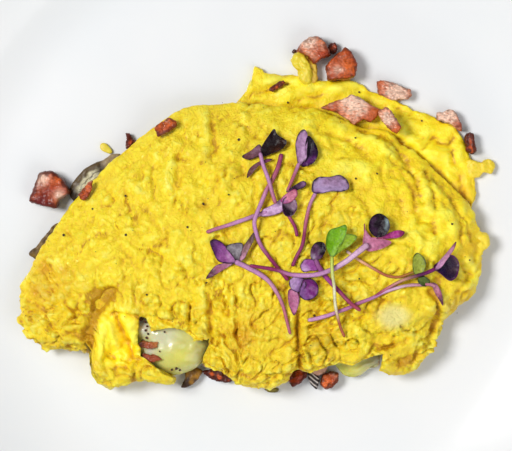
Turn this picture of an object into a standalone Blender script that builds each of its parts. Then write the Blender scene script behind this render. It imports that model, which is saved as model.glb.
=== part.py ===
"""Folded omelette with ham, mushrooms and melted cheese, topped with radish sprouts, on a white coupe plate.

Frame: metres, +Z up, origin on the plate's axis at the level of the table. +X runs along the fold of the
omelette, and +Y runs from the fold towards the open edge. Every piece is one object and one closed solid.
Sizes are named values in metres; MM turns millimetres into metres.
"""

import math
import random

import bmesh
import bpy
import numpy as np
from mathutils import Vector
from mathutils.bvhtree import BVHTree

MM = 0.001
GAP = 0.3 * MM  # clearance kept between pieces that touch

# Plate: a turned coupe plate with a flat well, a soft rise and a foot ring.
PLATE_RADIUS = 150 * MM
PLATE_HEIGHT = 27 * MM
WELL_RADIUS = 104 * MM
WELL_TOP = 9 * MM  # upper face of the well above the table
PLATE_WALL = 4.6 * MM
FOOT_OUTER = 88 * MM
FOOT_INNER = 81 * MM
FOOT_RECESS = 3.2 * MM
PLATE_STEPS = 36

# Egg sheet: a round omelette of even thickness, folded once along a line near the front.
SHEET = 4.2 * MM
LOWER_MID = WELL_TOP + GAP + SHEET / 2  # middle surface of the lower leaf
RIM_MID = LOWER_MID + SHEET + 0.5 * MM  # middle surface of the upper leaf at its free edge
CROWN = 10 * MM  # rise of the upper leaf over the filling
CROWN_SPREAD = 15 * MM
NOSE_ROUNDNESS = 1.2  # depth of the rounded nose over half the height that it turns
NOSE_LIFT = 2.5 * MM  # the upper leaf stands off the lower one next to the fold
NOSE_LIFT_SPREAD = 8 * MM
FOLD_MIDDLE = (-5 * MM, -60 * MM)
FOLD_CROWDING = 1.5  # crowds the sheet's rows towards the fold
SHEET_COLUMNS = 27
SHEET_ROWS = 26

# Plan outlines in millimetres, anticlockwise from the right end of the fold to its left end.
UPPER_EDGE = [
    (62, -55.5), (69, -46), (74.5, -38), (79.5, -30.5), (86, -23), (90.5, -14), (90, -4), (86.5, 7), (76, 19),
    (60, 32), (53, 37), (42, 39.5), (33, 43), (25, 46.2), (8, 48), (-10, 49), (-29, 46.5), (-43, 38),
    (-57, 26), (-71, 11.5), (-84, -6), (-92, -20), (-95, -33), (-92.5, -43), (-85, -48),
]
LOWER_EDGE = [
    (62, -55.5), (67, -46), (73, -36), (79, -24), (84, -10), (87, 2), (88.5, 17), (87, 27), (80.5, 37),
    (73, 41.5), (60, 48.5), (49, 53.5), (36, 58), (24, 58.5), (9, 60.5), (0, 65.5), (-3, 58), (-9, 48),
    (-24, 42), (-38, 32), (-51, 19), (-64, 3), (-76, -13), (-86, -28), (-87, -40), (-85, -48),
]
FOLD_LINE = [
    (-85, -48), (-74, -48), (-66.5, -49), (-62.5, -57), (-58, -60.5), (-50, -60), (-44, -57.5), (-36, -58.5),
    (-20, -57), (-5, -62), (5, -63), (14, -60), (30, -57), (45, -57), (54, -57.8), (62, -55.5),
]
# Broad swellings and hollows of the upper leaf: x, y, radius, height in millimetres.
SWELLINGS = [
    (28, 8, 34, 3.5), (-20, -8, 26, 2.0), (-58, -14, 20, 1.5), (62, -12, 18, 2.0),
    (-53, -50, 11, -7.0), (70, -44, 12, 1.5), (-2, -46, 14, 1.5),
]

# Tears along the fold, as plan outlines in millimetres.
UPPER_TEAR = [
    (-46.6, -36), (-43.5, -37.2), (-41.8, -42), (-34.4, -40.6), (-30, -41), (-26, -43.4), (-24.6, -46),
    (-18.4, -44.8), (-19.4, -49), (-21.2, -54.6), (-20.5, -57), (-22, -72), (-33, -72), (-36, -60.5),
    (-41.6, -56.2), (-46, -51.8), (-47.2, -46),
]
NOTCH_TEAR = [
    (-32, -59.5), (-27, -54.6), (-21.2, -54.6), (-20.4, -56.2), (-13.6, -58.2), (-8.4, -62.2), (-8.4, -72),
    (-32, -72),
]
FRONT_TEAR = [
    (12.5, -72), (13, -60.6), (14.6, -58.4), (17, -57.2), (22, -58.6), (28, -56.4), (33, -54.6),
    (38.5, -55.4), (42, -53.6), (47, -51.6), (50.6, -51), (50.4, -55), (49.2, -57.8), (53, -60), (54.5, -72),
]
TONGUE_GAP = [(27.5, -72), (28, -49), (41, -47.5), (54, -47), (54.5, -72)]  # in the lower leaf only
EDGE_TAB = (92 * MM, 23.5 * MM)  # small tongue of egg on the lower leaf's right edge
EDGE_TAB_SIZE = (6.5 * MM, 3.2 * MM, 2.0 * MM)
EDGE_BEAD = (91.5 * MM, -6 * MM)  # bead of egg on the upper leaf's right edge
EDGE_BEAD_SIZE = (4.2 * MM, 3.0 * MM, 2.4 * MM)

# Melted cheese between the leaves: plan outline in millimetres.
CHEESE_EDGE = [
    (62, -30), (66, -12), (56, 8), (32, 22), (4, 27), (-24, 18), (-46, 0), (-60, -22), (-54, -34),
    (-44.5, -42), (-43, -50), (-39, -54.5), (-33, -58), (-27, -58), (-23.5, -54), (-15, -50), (2, -49),
    (22, -48), (31, -50), (33.5, -57), (38, -60.6), (44, -59), (48, -54), (51, -46),
]
CHEESE_MIDDLE = (0, -18)
CHEESE_CLEARANCE = 0.7 * MM
CHEESE_FEELER = 3.2 * MM  # how far around each point the pocket's walls are felt for
CHEESE_SIDES = 48
CHEESE_RINGS = 9
CHEESE_MOST = 15 * MM  # highest level of the cheese above the well, under the leaf
CHEESE_BLOB = (-28 * MM, -48.5 * MM)  # where it bulges up through the tear
CHEESE_BLOB_RADIUS = 8.5 * MM
CHEESE_BLOB_TOP = WELL_TOP + 16.5 * MM
CHEESE_TONGUE_TOP = WELL_TOP + 7 * MM
SAG_FROM = -51 * MM  # the tongue starts to sag to the plate here
SAG_RUN = 8 * MM

YOLK = (0.91, 0.66, 0.06, 1)
HAM_PINK = (0.62, 0.25, 0.15, 1)
HAM_DARK = (0.40, 0.10, 0.06, 1)
MUSHROOM_BROWN = (0.30, 0.20, 0.10, 1)
CHEESE_CREAM = (0.70, 0.66, 0.30, 1)
SPROUT_LILAC = (0.42, 0.20, 0.32, 1)
SPROUT_GREEN = (0.26, 0.42, 0.06, 1)
GLAZE_WHITE = (0.86, 0.86, 0.85, 1)


def clear_scene():
    """Removes whatever the scene holds."""
    for old in list(bpy.data.objects):
        bpy.data.objects.remove(old)


def new_collection(name):
    """A collection linked to the scene."""
    made = bpy.data.collections.new(name)
    bpy.context.scene.collection.children.link(made)
    return made


def material(name, colour, roughness):
    """A plain Principled material."""
    made = bpy.data.materials.new(name)
    made.use_nodes = True
    shader = made.node_tree.nodes["Principled BSDF"]
    shader.inputs["Base Color"].default_value = colour
    shader.inputs["Roughness"].default_value = roughness
    shader.inputs["Metallic"].default_value = 0.0
    return made


def add_object(name, mesh, finish, collection, smooth=False):
    """Links a mesh as a named object with one material."""
    if smooth:
        mesh.shade_smooth()
    made = bpy.data.objects.new(name, mesh)
    if finish:
        mesh.materials.append(finish)
    collection.objects.link(made)
    return made


def mesh_from(name, work):
    """Turns a bmesh into a mesh whose faces point outwards."""
    bmesh.ops.recalc_face_normals(work, faces=work.faces)
    mesh = bpy.data.meshes.new(name)
    work.to_mesh(mesh)
    work.free()
    return mesh


def smooth_path(points, count, closed=False):
    """count points evenly spaced along a Catmull-Rom curve through points."""
    knots = np.array(points, float)
    if closed:
        padded = np.vstack([knots[-1], knots, knots[:2]])
    else:
        padded = np.vstack([2 * knots[0] - knots[1], knots, 2 * knots[-1] - knots[-2]])
    t = np.linspace(0, 1, 24, endpoint=False)[:, None]
    spans = []
    for a, b, c, d in zip(padded, padded[1:], padded[2:], padded[3:]):
        spans.append(
            0.5 * (2 * b + (c - a) * t + (2 * a - 5 * b + 4 * c - d) * t**2 + (3 * b - a - 3 * c + d) * t**3)
        )
    dense = np.vstack(spans + [padded[-2][None]])
    run = np.concatenate([[0], np.cumsum(np.linalg.norm(np.diff(dense, axis=0), axis=1))])
    wanted = np.linspace(0, run[-1], count, endpoint=not closed)
    return np.column_stack([np.interp(wanted, run, dense[:, k]) for k in range(dense.shape[1])])


def prism(name, outline, low, high, finish, collection):
    """A flat outline, in millimetres, raised between two heights in metres."""
    work = bmesh.new()
    base = [work.verts.new((x * MM, y * MM, low)) for x, y in outline]
    face = work.faces.new(base)
    raised = bmesh.ops.extrude_face_region(work, geom=[face])
    tops = [part for part in raised["geom"] if isinstance(part, bmesh.types.BMVert)]
    bmesh.ops.translate(work, verts=tops, vec=(0, 0, high - low))
    return add_object(name, mesh_from(name, work), finish, collection)


def cut(target, cutter, operation="DIFFERENCE"):
    """Adds a Boolean to target and keeps the other mesh out of the build."""
    modifier = target.modifiers.new(cutter.name, "BOOLEAN")
    modifier.operation = operation
    modifier.object = cutter
    cutter.hide_render = True
    cutter.display_type = "WIRE"


def surface_of(obj):
    """A search tree of the object's evaluated mesh, in world space."""
    bpy.context.view_layer.update()
    graph = bpy.context.evaluated_depsgraph_get()
    return BVHTree.FromObject(obj, graph)


def height_under(trees, x, y, otherwise=WELL_TOP):
    """Height of the highest surface below a point far above (x, y)."""
    found = [otherwise]
    for tree in trees:
        hit = tree.ray_cast(Vector((x, y, 0.2)), Vector((0, 0, -1)))[0]
        if hit is not None:
            found.append(hit.z)
    return max(found)


# ---------------------------------------------------------------- plate


def build_plate(collection):
    """The glazed coupe plate: one profile turned about the plate's axis."""
    rise = [(share, share**1.7) for share in (0.2, 0.4, 0.6, 0.8)]
    reach = PLATE_RADIUS - 2 * MM - WELL_RADIUS
    lift = PLATE_HEIGHT - WELL_TOP
    top = [(0, WELL_TOP), (WELL_RADIUS * 0.5, WELL_TOP), (WELL_RADIUS, WELL_TOP)]
    top += [(WELL_RADIUS + reach * along, WELL_TOP + lift * up) for along, up in rise]
    lip = [
        (PLATE_RADIUS - 2 * MM, PLATE_HEIGHT),
        (PLATE_RADIUS - 0.6 * MM, PLATE_HEIGHT - 0.3 * MM),
        (PLATE_RADIUS, PLATE_HEIGHT - 1.6 * MM),
        (PLATE_RADIUS - 0.8 * MM, PLATE_HEIGHT - 3 * MM),
    ]
    under = [(r, z - PLATE_WALL) for r, z in reversed(top[3:])]
    foot = [
        (FOOT_OUTER + 6 * MM, 3.9 * MM),
        (FOOT_OUTER + 1 * MM, 3.2 * MM),
        (FOOT_OUTER, 0),
        (FOOT_INNER, 0),
        (FOOT_INNER - 1 * MM, FOOT_RECESS),
        (0, FOOT_RECESS),
    ]
    profile = top + lip + under + foot
    work = bmesh.new()
    verts = [work.verts.new((r, 0, z)) for r, z in profile]
    for first, second in zip(verts, verts[1:]):
        work.edges.new((first, second))
    mesh = bpy.data.meshes.new("plate")
    work.to_mesh(mesh)
    work.free()
    plate = add_object("plate", mesh, material("glaze", GLAZE_WHITE, 0.15), collection)
    screw = plate.modifiers.new("turn", "SCREW")
    screw.axis = "Z"
    screw.steps = PLATE_STEPS
    screw.render_steps = PLATE_STEPS
    screw.use_merge_vertices = True
    screw.merge_threshold = 0.0001
    return plate


# ---------------------------------------------------------------- folded egg sheet


def along(path, share):
    """The point at a share of the way along a densely sampled path."""
    at = np.linspace(0, 1, len(path))
    return [float(np.interp(share, at, path[:, k])) for k in range(2)]


def straight_fold(x):
    """y of the unwaved fold: straight from each end to the middle of the fold."""
    left, right = UPPER_EDGE[-1], UPPER_EDGE[0]
    xs = [left[0] * MM, FOLD_MIDDLE[0], right[0] * MM]
    ys = [left[1] * MM, FOLD_MIDDLE[1], right[1] * MM]
    return float(np.interp(x, xs, ys))


def swelling(x, y):
    """Sum of the upper leaf's broad bell-shaped swellings."""
    total = 0.0
    for cx, cy, radius, height in SWELLINGS:
        away = math.hypot(x / MM - cx, y / MM - cy) / radius
        total += height * MM * math.exp(-(away**2))
    return total


def folded_point(a, b, upper_edge, lower_edge, fold_line):
    """Where the point (a, b) of a flat square, from -1 to 1 each way, goes on the folded sheet's middle surface.

    The square becomes a disc; rows with b above 0 form the upper leaf and the others the lower one.
    Each leaf runs straight from the middle of the fold to its own free edge, and near the fold both
    follow a quarter of an ellipse into the rounded nose.
    """
    across = math.copysign(abs(b) ** FOLD_CROWDING, b)
    u = a * math.sqrt(1 - across**2 / 2)
    w = across * math.sqrt(1 - a**2 / 2)
    reach = math.hypot(u, w)
    share = math.atan2(abs(w), u) / math.pi
    edge = along(upper_edge if b >= 0 else lower_edge, share)
    span = math.hypot(edge[0] - FOLD_MIDDLE[0], edge[1] - FOLD_MIDDLE[1])
    x = FOLD_MIDDLE[0] + reach * (edge[0] - FOLD_MIDDLE[0])
    y = FOLD_MIDDLE[1] + reach * (edge[1] - FOLD_MIDDLE[1])
    back = max(0.0, y - straight_fold(x))
    wave = float(np.interp(x, fold_line[:, 0], fold_line[:, 1])) - straight_fold(x)
    y += wave * math.exp(-((back / (14 * MM)) ** 2))
    inset = (1 - reach) * span
    leaf = RIM_MID + CROWN * (1 - math.exp(-inset / CROWN_SPREAD))
    leaf += swelling(x, y) * (1 - math.exp(-inset / (6 * MM)))
    leaf += NOSE_LIFT * math.exp(-((back / NOSE_LIFT_SPREAD) ** 2))
    half = (leaf - LOWER_MID) / 2
    turned = 1 - min(back / (half * NOSE_ROUNDNESS), 1)
    leave = math.copysign(math.sqrt(1 - turned**2), b)
    return x, y, LOWER_MID + half * (1 + leave)


def lump(name, place, size, z, collection):
    """A small rounded lump for joining to the sheet."""
    work = bmesh.new()
    bmesh.ops.create_uvsphere(work, u_segments=10, v_segments=6, radius=1)
    bmesh.ops.scale(work, vec=size, verts=work.verts)
    bmesh.ops.translate(work, vec=(*place, z), verts=work.verts)
    return add_object(name, mesh_from(name, work), None, collection, smooth=True)


def build_omelette(collection, cutters):
    """The folded egg sheet: a flat grid bent over the fold, thickened, and torn open along the fold."""
    upper_edge = smooth_path(UPPER_EDGE, 300) * MM
    lower_edge = smooth_path(LOWER_EDGE, 300) * MM
    fold_line = smooth_path(FOLD_LINE, 200) * MM
    work = bmesh.new()
    bmesh.ops.create_grid(work, x_segments=SHEET_COLUMNS, y_segments=SHEET_ROWS, size=1)
    for vert in work.verts:
        vert.co = folded_point(vert.co.x, vert.co.y, upper_edge, lower_edge, fold_line)
    mesh = bpy.data.meshes.new("omelette")
    work.to_mesh(mesh)
    work.free()
    egg = add_object("omelette", mesh, material("egg", YOLK, 0.5), collection, smooth=True)
    solid = egg.modifiers.new("thickness", "SOLIDIFY")
    solid.thickness = SHEET
    solid.offset = 0
    under = WELL_TOP - 2 * MM
    over = WELL_TOP + 40 * MM
    tears = [
        ("upper_tear", UPPER_TEAR, WELL_TOP + SHEET + 1.0 * MM, over),
        ("notch_tear", NOTCH_TEAR, under, over),
        ("front_tear", FRONT_TEAR, under, over),
        ("tongue_gap", TONGUE_GAP, under, WELL_TOP + 10 * MM),
    ]
    for name, outline, low, high in tears:
        cut(egg, prism(name, outline, low, high, None, cutters))
    tab = lump("edge_tab", EDGE_TAB, EDGE_TAB_SIZE, LOWER_MID, cutters)
    bead = lump("edge_bead", EDGE_BEAD, EDGE_BEAD_SIZE, RIM_MID + 0.4 * MM, cutters)
    cut(egg, tab, "UNION")
    cut(egg, bead, "UNION")
    return egg


# ---------------------------------------------------------------- melted cheese


def crossings(tree, x, y):
    """Heights at which a vertical line meets the surface, from the lowest up."""
    found = []
    start = Vector((x, y, 0))
    while True:
        hit = tree.ray_cast(start, Vector((0, 0, 1)))[0]
        if hit is None:
            return found
        found.append(hit.z)
        start = hit + Vector((0, 0, 1e-5))


def pocket_heights(tree, x, y):
    """Highest floor and lowest roof of the pocket around (x, y); the roof is None where all of it is open.

    A wall that starts low belongs to the lower leaf or the fold, and any other wall to the upper leaf.
    """
    floors = [WELL_TOP]
    roofs = []
    for turn in range(9):
        away = CHEESE_FEELER * min(turn, 1)
        met = crossings(tree, x + away * math.cos(turn * math.pi / 4), y + away * math.sin(turn * math.pi / 4))
        for enter, leave in zip(met[0::2], met[1::2]):
            if enter < WELL_TOP + SHEET:
                floors.append(leave)
            else:
                roofs.append(enter)
    return max(floors), min(roofs, default=None)


def build_cheese(egg, collection):
    """Melted cheese that fills the pocket, bulges up through one tear and hangs out of the other.

    It is a round pillow: each point's longitude picks a point of the plan outline and its latitude how far
    in it lies, and its height is read off the pocket that it fills.
    """
    outline = smooth_path(CHEESE_EDGE, 400, closed=True)
    bearing = np.arctan2(outline[:, 1] - CHEESE_MIDDLE[1], outline[:, 0] - CHEESE_MIDDLE[0])
    distance = np.hypot(outline[:, 1] - CHEESE_MIDDLE[1], outline[:, 0] - CHEESE_MIDDLE[0])
    order = np.argsort(bearing)
    tree = surface_of(egg)
    work = bmesh.new()
    bmesh.ops.create_uvsphere(work, u_segments=CHEESE_SIDES, v_segments=CHEESE_RINGS, radius=1)
    for vert in work.verts:
        latitude = math.asin(max(-1.0, min(1.0, vert.co.z)))
        longitude = math.atan2(vert.co.y, vert.co.x)
        reach = math.cos(latitude) * MM
        reach *= float(np.interp(longitude, bearing[order], distance[order], period=2 * math.pi))
        x = CHEESE_MIDDLE[0] * MM + reach * math.cos(longitude)
        y = CHEESE_MIDDLE[1] * MM + reach * math.sin(longitude)
        floor, roof = pocket_heights(tree, x, y)
        open_top = roof is None
        blob = math.exp(-((math.hypot(x - CHEESE_BLOB[0], y - CHEESE_BLOB[1]) / CHEESE_BLOB_RADIUS) ** 4))
        tongue_top = CHEESE_TONGUE_TOP + (CHEESE_BLOB_TOP - CHEESE_TONGUE_TOP) * blob
        sag = min(max((SAG_FROM - y) / SAG_RUN, 0), 1) if x > 0 else 0
        bottom = max(floor, WELL_TOP + (SHEET + GAP) * (1 - sag)) + CHEESE_CLEARANCE
        top = tongue_top if open_top else min(roof - CHEESE_CLEARANCE, WELL_TOP + CHEESE_MOST)
        top = max(top, bottom + 0.8 * MM)
        middle = bottom + 0.45 * (top - bottom)
        bulge = abs(math.sin(latitude)) ** 0.5
        vert.co = (x, y, middle + bulge * ((top - middle) if latitude > 0 else (bottom - middle)))
    mesh = mesh_from("melted_cheese", work)
    return add_object("melted_cheese", mesh, material("cheese", CHEESE_CREAM, 0.35), collection, smooth=True)


# ---------------------------------------------------------------- ham and mushrooms

# Ham pieces: name, (x, y), (length, width, height), turn in degrees, resting place, dark or pink.
HAM_PIECES = [
    ("ham_cube_left", (-84.4, 14.6), (12.5, 11, 8), 40, "plate", "dark"),
    ("ham_cube_back_left", (23.2, 72.4), (11.6, 9.2, 8), -8, "plate", "pink"),
    ("ham_cube_back_right", (35.6, 65.4), (11, 12, 8.5), 10, "plate", "pink"),
    ("ham_crumb_back", (32.6, 75.2), (3.6, 3.4, 3.2), 20, "plate", "dark"),
    ("ham_strip_back", (56.2, 55.4), (14, 6, 5), -12, "plate", "pink"),
    ("ham_chunk_right", (78.8, 44.4), (8, 5, 5), -30, "plate", "pink"),
    ("ham_chunk_far_right", (87.8, 33.2), (4.2, 8, 5), 8, "plate", "dark"),
    ("ham_slab_on_leaf", (38.4, 47.8), (18, 6.6, 5), -14, "egg", "pink"),
    ("ham_chunk_on_leaf", (52.6, 42.6), (5, 8, 4.5), 32, "egg", "pink"),
    ("ham_sliver_on_leaf", (8.6, 54.6), (7, 2.4, 2.4), 32, "egg", "dark"),
    ("ham_chip_on_top", (-36.0, 39.0), (7.2, 4.4, 2.6), 22, "egg", "pink"),
    ("ham_flake_left", (-51.5, 35.6), (5.0, 3.6, 3), 40, "plate", "dark"),
    ("ham_sliver_left", (-67.6, 13.6), (8.5, 3.0, 2.4), 56, "egg", "pink"),
    ("ham_cube_front", (17.0, -61.6), (7, 6.4, 5.5), 24, "plate", "dark"),
    ("ham_cube_front_right", (29.6, -62.2), (6.4, 6.4, 5.5), -28, "plate", "pink"),
    ("ham_piece_front_left", (-16.2, -60.4), (12.5, 4.6, 4.2), -24, "plate", "dark"),
    ("ham_strip_in_tear", (-40.4, -48.2), (4.6, 2.0, 1.8), 4, "tear", "pink"),
    ("ham_strip_in_tear_low", (-39.4, -53.2), (5.0, 1.8, 1.8), -6, "tear", "pink"),
]

HAM_WEAR = 0.16  # share by which a block's corners are worn back
HAM_ROUGH = 0.07  # share by which each of its points strays

# Mushroom slices, as plan outlines in millimetres with a thickness.
CAP_SLICE = [
    (-75.6, 10.6), (-76.4, 13.6), (-74.4, 18.4), (-70.4, 22.8), (-65.6, 26.2), (-60.6, 28.4), (-56.0, 28.6),
    (-57.4, 24.6), (-62.6, 20.0), (-67.4, 15.0), (-71.4, 10.2),
]
STEM_SLICE = [(-90.6, -11.6), (-86.0, -14.2), (-74.6, -1.6), (-79.4, 0.8)]
FRONT_SLICE = [(-30.0, -65.6), (-26.0, -64.2), (-23.0, -61.2), (-22.6, -58.4), (-27.6, -57.6), (-28.2, -61.0)]
FRONT_GILLS = [(21.4, -63.6), (23.2, -65.4), (24.8, -64.8), (25.2, -60.6), (23.6, -58.2), (21.8, -59.4)]
FRONT_CHIP = [(3.4, -66.4), (5.6, -67.6), (8.6, -67.0), (9.0, -65.8), (6.0, -65.7)]
MUSHROOM_SLICES = [
    ("mushroom_cap_slice", CAP_SLICE, 3.6),
    ("mushroom_stem_slice", STEM_SLICE, 3.6),
    ("mushroom_front_slice", FRONT_SLICE, 4.2),
    ("mushroom_front_gills", FRONT_GILLS, 4.4),
    ("mushroom_front_chip", FRONT_CHIP, 1.8),
]
CURD_PLACE = (19.4, 64.0)  # loose lump of egg behind the lower leaf
CURD_SIZE = (4.8, 4.4, 4.0)


def build_mushrooms(collection):
    """Slices of brown mushroom that lie flat on the plate."""
    finish = material("mushroom", MUSHROOM_BROWN, 0.45)
    for name, outline, thick in MUSHROOM_SLICES:
        low = WELL_TOP + GAP
        slice_ = prism(name, outline, low, low + thick * MM, finish, collection)
        edge = slice_.modifiers.new("soft_edge", "BEVEL")
        edge.width = 0.6 * MM
        edge.segments = 1


def build_ham(supports, collection):
    """Diced ham: cut blocks with worn corners, each set down on what lies under it."""
    finishes = {
        "pink": material("ham", HAM_PINK, 0.4),
        "dark": material("ham_seared", HAM_DARK, 0.35),
    }
    dice_rng = random.Random(7)
    for name, (x, y), size, turn, rest, shade in HAM_PIECES:
        work = bmesh.new()
        bmesh.ops.create_cube(work, size=1)
        bmesh.ops.subdivide_edges(work, edges=work.edges, cuts=1, use_grid_fill=True)
        for vert in work.verts:
            square = max(abs(part) for part in vert.co)
            worn = 1 - HAM_WEAR * (vert.co.length / (square * math.sqrt(3))) ** 3
            rough = [worn + dice_rng.uniform(-HAM_ROUGH, HAM_ROUGH) for _ in range(3)]
            vert.co = [part * side * k * MM for part, side, k in zip(vert.co, size, rough)]
        block = add_object(name, mesh_from(name, work), finishes[shade], collection)
        block.rotation_euler.z = math.radians(turn)
        block.location = (x * MM, y * MM, 0)
        block.location.z = resting_height(block, size, supports[rest])


def resting_height(block, size, trees):
    """Height of the block's origin that leaves it GAP above the highest surface under its footprint."""
    bpy.context.view_layer.update()
    highest = WELL_TOP
    for across in np.linspace(-0.5, 0.5, 7):
        for deep in np.linspace(-0.5, 0.5, 7):
            spot = block.matrix_world @ Vector((across * size[0] * MM, deep * size[1] * MM, 0))
            highest = max(highest, height_under(trees, spot.x, spot.y))
    return highest + GAP - min(vert.co.z for vert in block.data.vertices)


def build_curd(collection):
    """A loose lump of scrambled egg behind the lower leaf."""
    work = bmesh.new()
    bmesh.ops.create_icosphere(work, subdivisions=2, radius=1)
    x, y = CURD_PLACE
    size = [s * MM for s in CURD_SIZE]
    bmesh.ops.scale(work, vec=size, verts=work.verts)
    bmesh.ops.translate(work, vec=(x * MM, y * MM, WELL_TOP + GAP + size[2] * 0.8), verts=work.verts)
    for vert in work.verts:
        vert.co.z = max(vert.co.z, WELL_TOP + GAP)
    mesh = mesh_from("egg_curd", work)
    return add_object("egg_curd", mesh, bpy.data.materials["egg"], collection, smooth=True)


# ---------------------------------------------------------------- radish sprouts

# Each sprout: name, stem diameter and colour, then the stem's route from the cut end as x, y and the lift of
# its middle above the egg, then its leaves as the x and y of base and tip, width and lift; millimetres.
SPROUTS = [
    ("sprout_top_dark", 1.7, "lilac", [
        (7.8, 8.6, 3.9), (6.4, 13.0, 3.9), (4.8, 18.2, 3.9), (3.2, 23.6, 2.4), (1.4, 28.8, 1.5),
    ], [
        (0.8, 28.2, 9.6, 35.6, 8.4, 1.5), (2.4, 29.6, -5.4, 27.0, 3.0, 1.4),
        (3.4, 25.4, -3.4, 19.4, 2.2, 1.9), (2.2, 25.0, 6.2, 26.4, 2.2, 1.9),
    ]),
    ("sprout_long_curve", 1.7, "lilac", [
        (10.3, 28.0, 1.3), (8.8, 23.6, 1.3), (6.8, 18.8, 1.3), (4.2, 14.2, 1.3), (2.4, 9.6, 1.8), (1.1, 5.6, 3.9),
        (0.0, 1.2, 3.6), (0.4, -3.6, 1.4), (2.2, -8.2, 1.3), (5.2, -12.4, 1.3), (8.6, -16.8, 1.3),
        (12.6, -21.6, 1.3),
    ], [
        (12.0, -21.4, 24.4, -25.8, 8.0, 1.4), (14.2, -21.6, 17.6, -25.6, 6.2, 2.1),
        (13.2, -23.6, 15.2, -35.2, 3.8, 1.4),
    ]),
    ("sprout_top_pod", 1.5, "lilac", [
        (12.2, 13.4, 1.3), (14.2, 18.4, 1.3), (15.8, 22.2, 1.4), (17.0, 25.8, 1.5),
    ], [
        (16.6, 24.2, 18.8, 37.8, 7.6, 1.5), (11.8, 13.6, 19.6, 16.2, 3.0, 1.6),
    ]),
    ("sprout_left_stem", 1.8, "lilac", [
        (-19.6, -2.6, 1.3), (-13.6, -1.0, 1.3), (-6.4, 1.6, 1.3), (-0.6, 3.8, 1.3), (4.6, 5.9, 1.3),
    ], [
        (3.0, 5.3, 11.0, 7.8, 4.8, 1.4),
    ]),
    ("sprout_grey_leaf", 1.6, "lilac", [
        (14.4, -16.0, 1.3), (16.4, -11.8, 1.3), (18.2, -8.0, 1.3), (19.0, -3.2, 1.3), (19.7, 1.6, 1.3),
        (21.6, 8.8, 1.3), (23.8, 14.0, 1.4),
    ], [
        (22.4, 13.4, 37.0, 16.6, 6.8, 1.5),
    ]),
    ("sprout_round_leaf", 1.4, "lilac", [
        (16.3, -4.2, 1.3), (15.2, -0.6, 1.3), (14.0, 2.6, 1.3), (14.4, 5.0, 1.3),
    ], [
        (14.2, 3.6, 16.4, 11.6, 6.4, 1.5),
    ]),
    ("sprout_left_fan", 1.6, "lilac", [
        (13.4, -42.8, 1.3), (12.2, -37.4, 1.3), (10.9, -31.6, 1.3), (8.7, -26.4, 1.3), (5.2, -22.0, 1.3),
        (0.8, -18.7, 1.3), (-4.0, -15.9, 1.3), (-8.2, -14.2, 1.3),
    ], [
        (-7.2, -14.6, -17.2, -6.0, 6.6, 1.4), (-7.4, -14.2, -19.6, -20.6, 3.2, 1.4),
        (-6.4, -14.8, -8.8, -7.2, 6.0, 1.4), (-5.4, -15.0, -2.0, -3.6, 2.8, 1.4),
    ]),
    ("sprout_crossing", 1.8, "lilac", [
        (-2.6, -15.5, 3.9), (3.4, -16.8, 3.9), (9.0, -17.8, 3.9), (13.6, -19.2, 3.9), (19.0, -20.0, 3.9),
        (24.0, -19.4, 3.9), (29.8, -17.3, 3.9), (35.0, -14.4, 3.9), (39.8, -11.0, 3.9), (43.8, -7.4, 2.4),
    ], [
        (42.6, -8.4, 53.4, -6.6, 5.0, 2.2), (44.4, -6.4, 50.8, 4.4, 8.6, 2.2), (46.0, -6.2, 58.6, -2.8, 3.0, 2.4),
    ]),
    ("sprout_dark_bud", 1.8, "lilac", [
        (41.2, -33.4, 3.6), (37.0, -29.8, 3.8), (33.0, -25.8, 2.2), (29.6, -23.0, 1.3), (26.6, -19.5, 1.3),
        (24.0, -16.2, 1.3), (22.8, -13.6, 1.3),
    ], [
        (22.4, -14.6, 26.2, -6.4, 5.6, 1.4), (24.0, -16.0, 17.6, -17.0, 3.0, 1.3),
    ]),
    ("sprout_green", 1.5, "green", [
        (35.0, -44.0, 1.4), (33.4, -39.8, 2.4), (31.9, -34.8, 3.9), (30.9, -29.0, 4.4), (30.7, -23.6, 5.4),
        (29.9, -17.2, 6.5), (30.0, -12.0, 5.2),
    ], [
        (29.4, -13.4, 34.4, -0.2, 7.0, 4.6), (29.6, -12.6, 39.4, -4.4, 5.6, 4.6),
    ]),
    ("sprout_thin_right", 1.2, "green", [
        (35.6, -9.8, 1.1), (41.0, -13.4, 1.1), (46.1, -16.2, 1.1), (51.3, -18.4, 1.1), (57.0, -19.0, 1.1),
        (61.4, -18.0, 1.2), (64.2, -16.8, 1.2),
    ], [
        (63.9, -18.2, 63.2, -10.8, 4.4, 1.3),
    ]),
    ("sprout_right_dark", 1.6, "lilac", [
        (20.4, -37.2, 1.3), (27.6, -35.6, 1.3), (35.0, -33.2, 1.3), (40.0, -31.0, 1.3), (46.1, -28.4, 1.3),
        (52.0, -25.6, 1.3), (57.2, -23.2, 1.3), (62.0, -21.4, 1.3), (66.6, -19.4, 1.4), (70.6, -17.2, 1.6),
    ], [
        (69.0, -18.0, 80.6, -17.2, 9.4, 1.8), (69.4, -18.0, 79.0, -6.8, 2.6, 1.6),
        (63.6, -20.2, 68.8, -22.2, 3.4, 1.6),
    ]),
    ("sprout_right_thin_leaf", 1.2, "lilac", [
        (54.8, -27.8, 1.2), (59.4, -26.4, 1.2), (64.4, -25.7, 1.2), (68.0, -25.6, 1.2), (71.0, -26.4, 1.2),
    ], [
        (69.8, -25.0, 74.4, -32.0, 2.8, 1.3),
    ]),
]
SPROUT_SIDES = 6
STEM_SPACING = 6.4  # millimetres between the sections of a stem
LEAF_SECTIONS = 4
LEAF_THICKNESS = 0.9 * MM


def draped(plan, trees):
    """Middles that follow the egg under them: x, y and lift in millimetres become points in metres."""
    return np.array([(x * MM, y * MM, height_under(trees, x * MM, y * MM) + lift * MM) for x, y, lift in plan])


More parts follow.
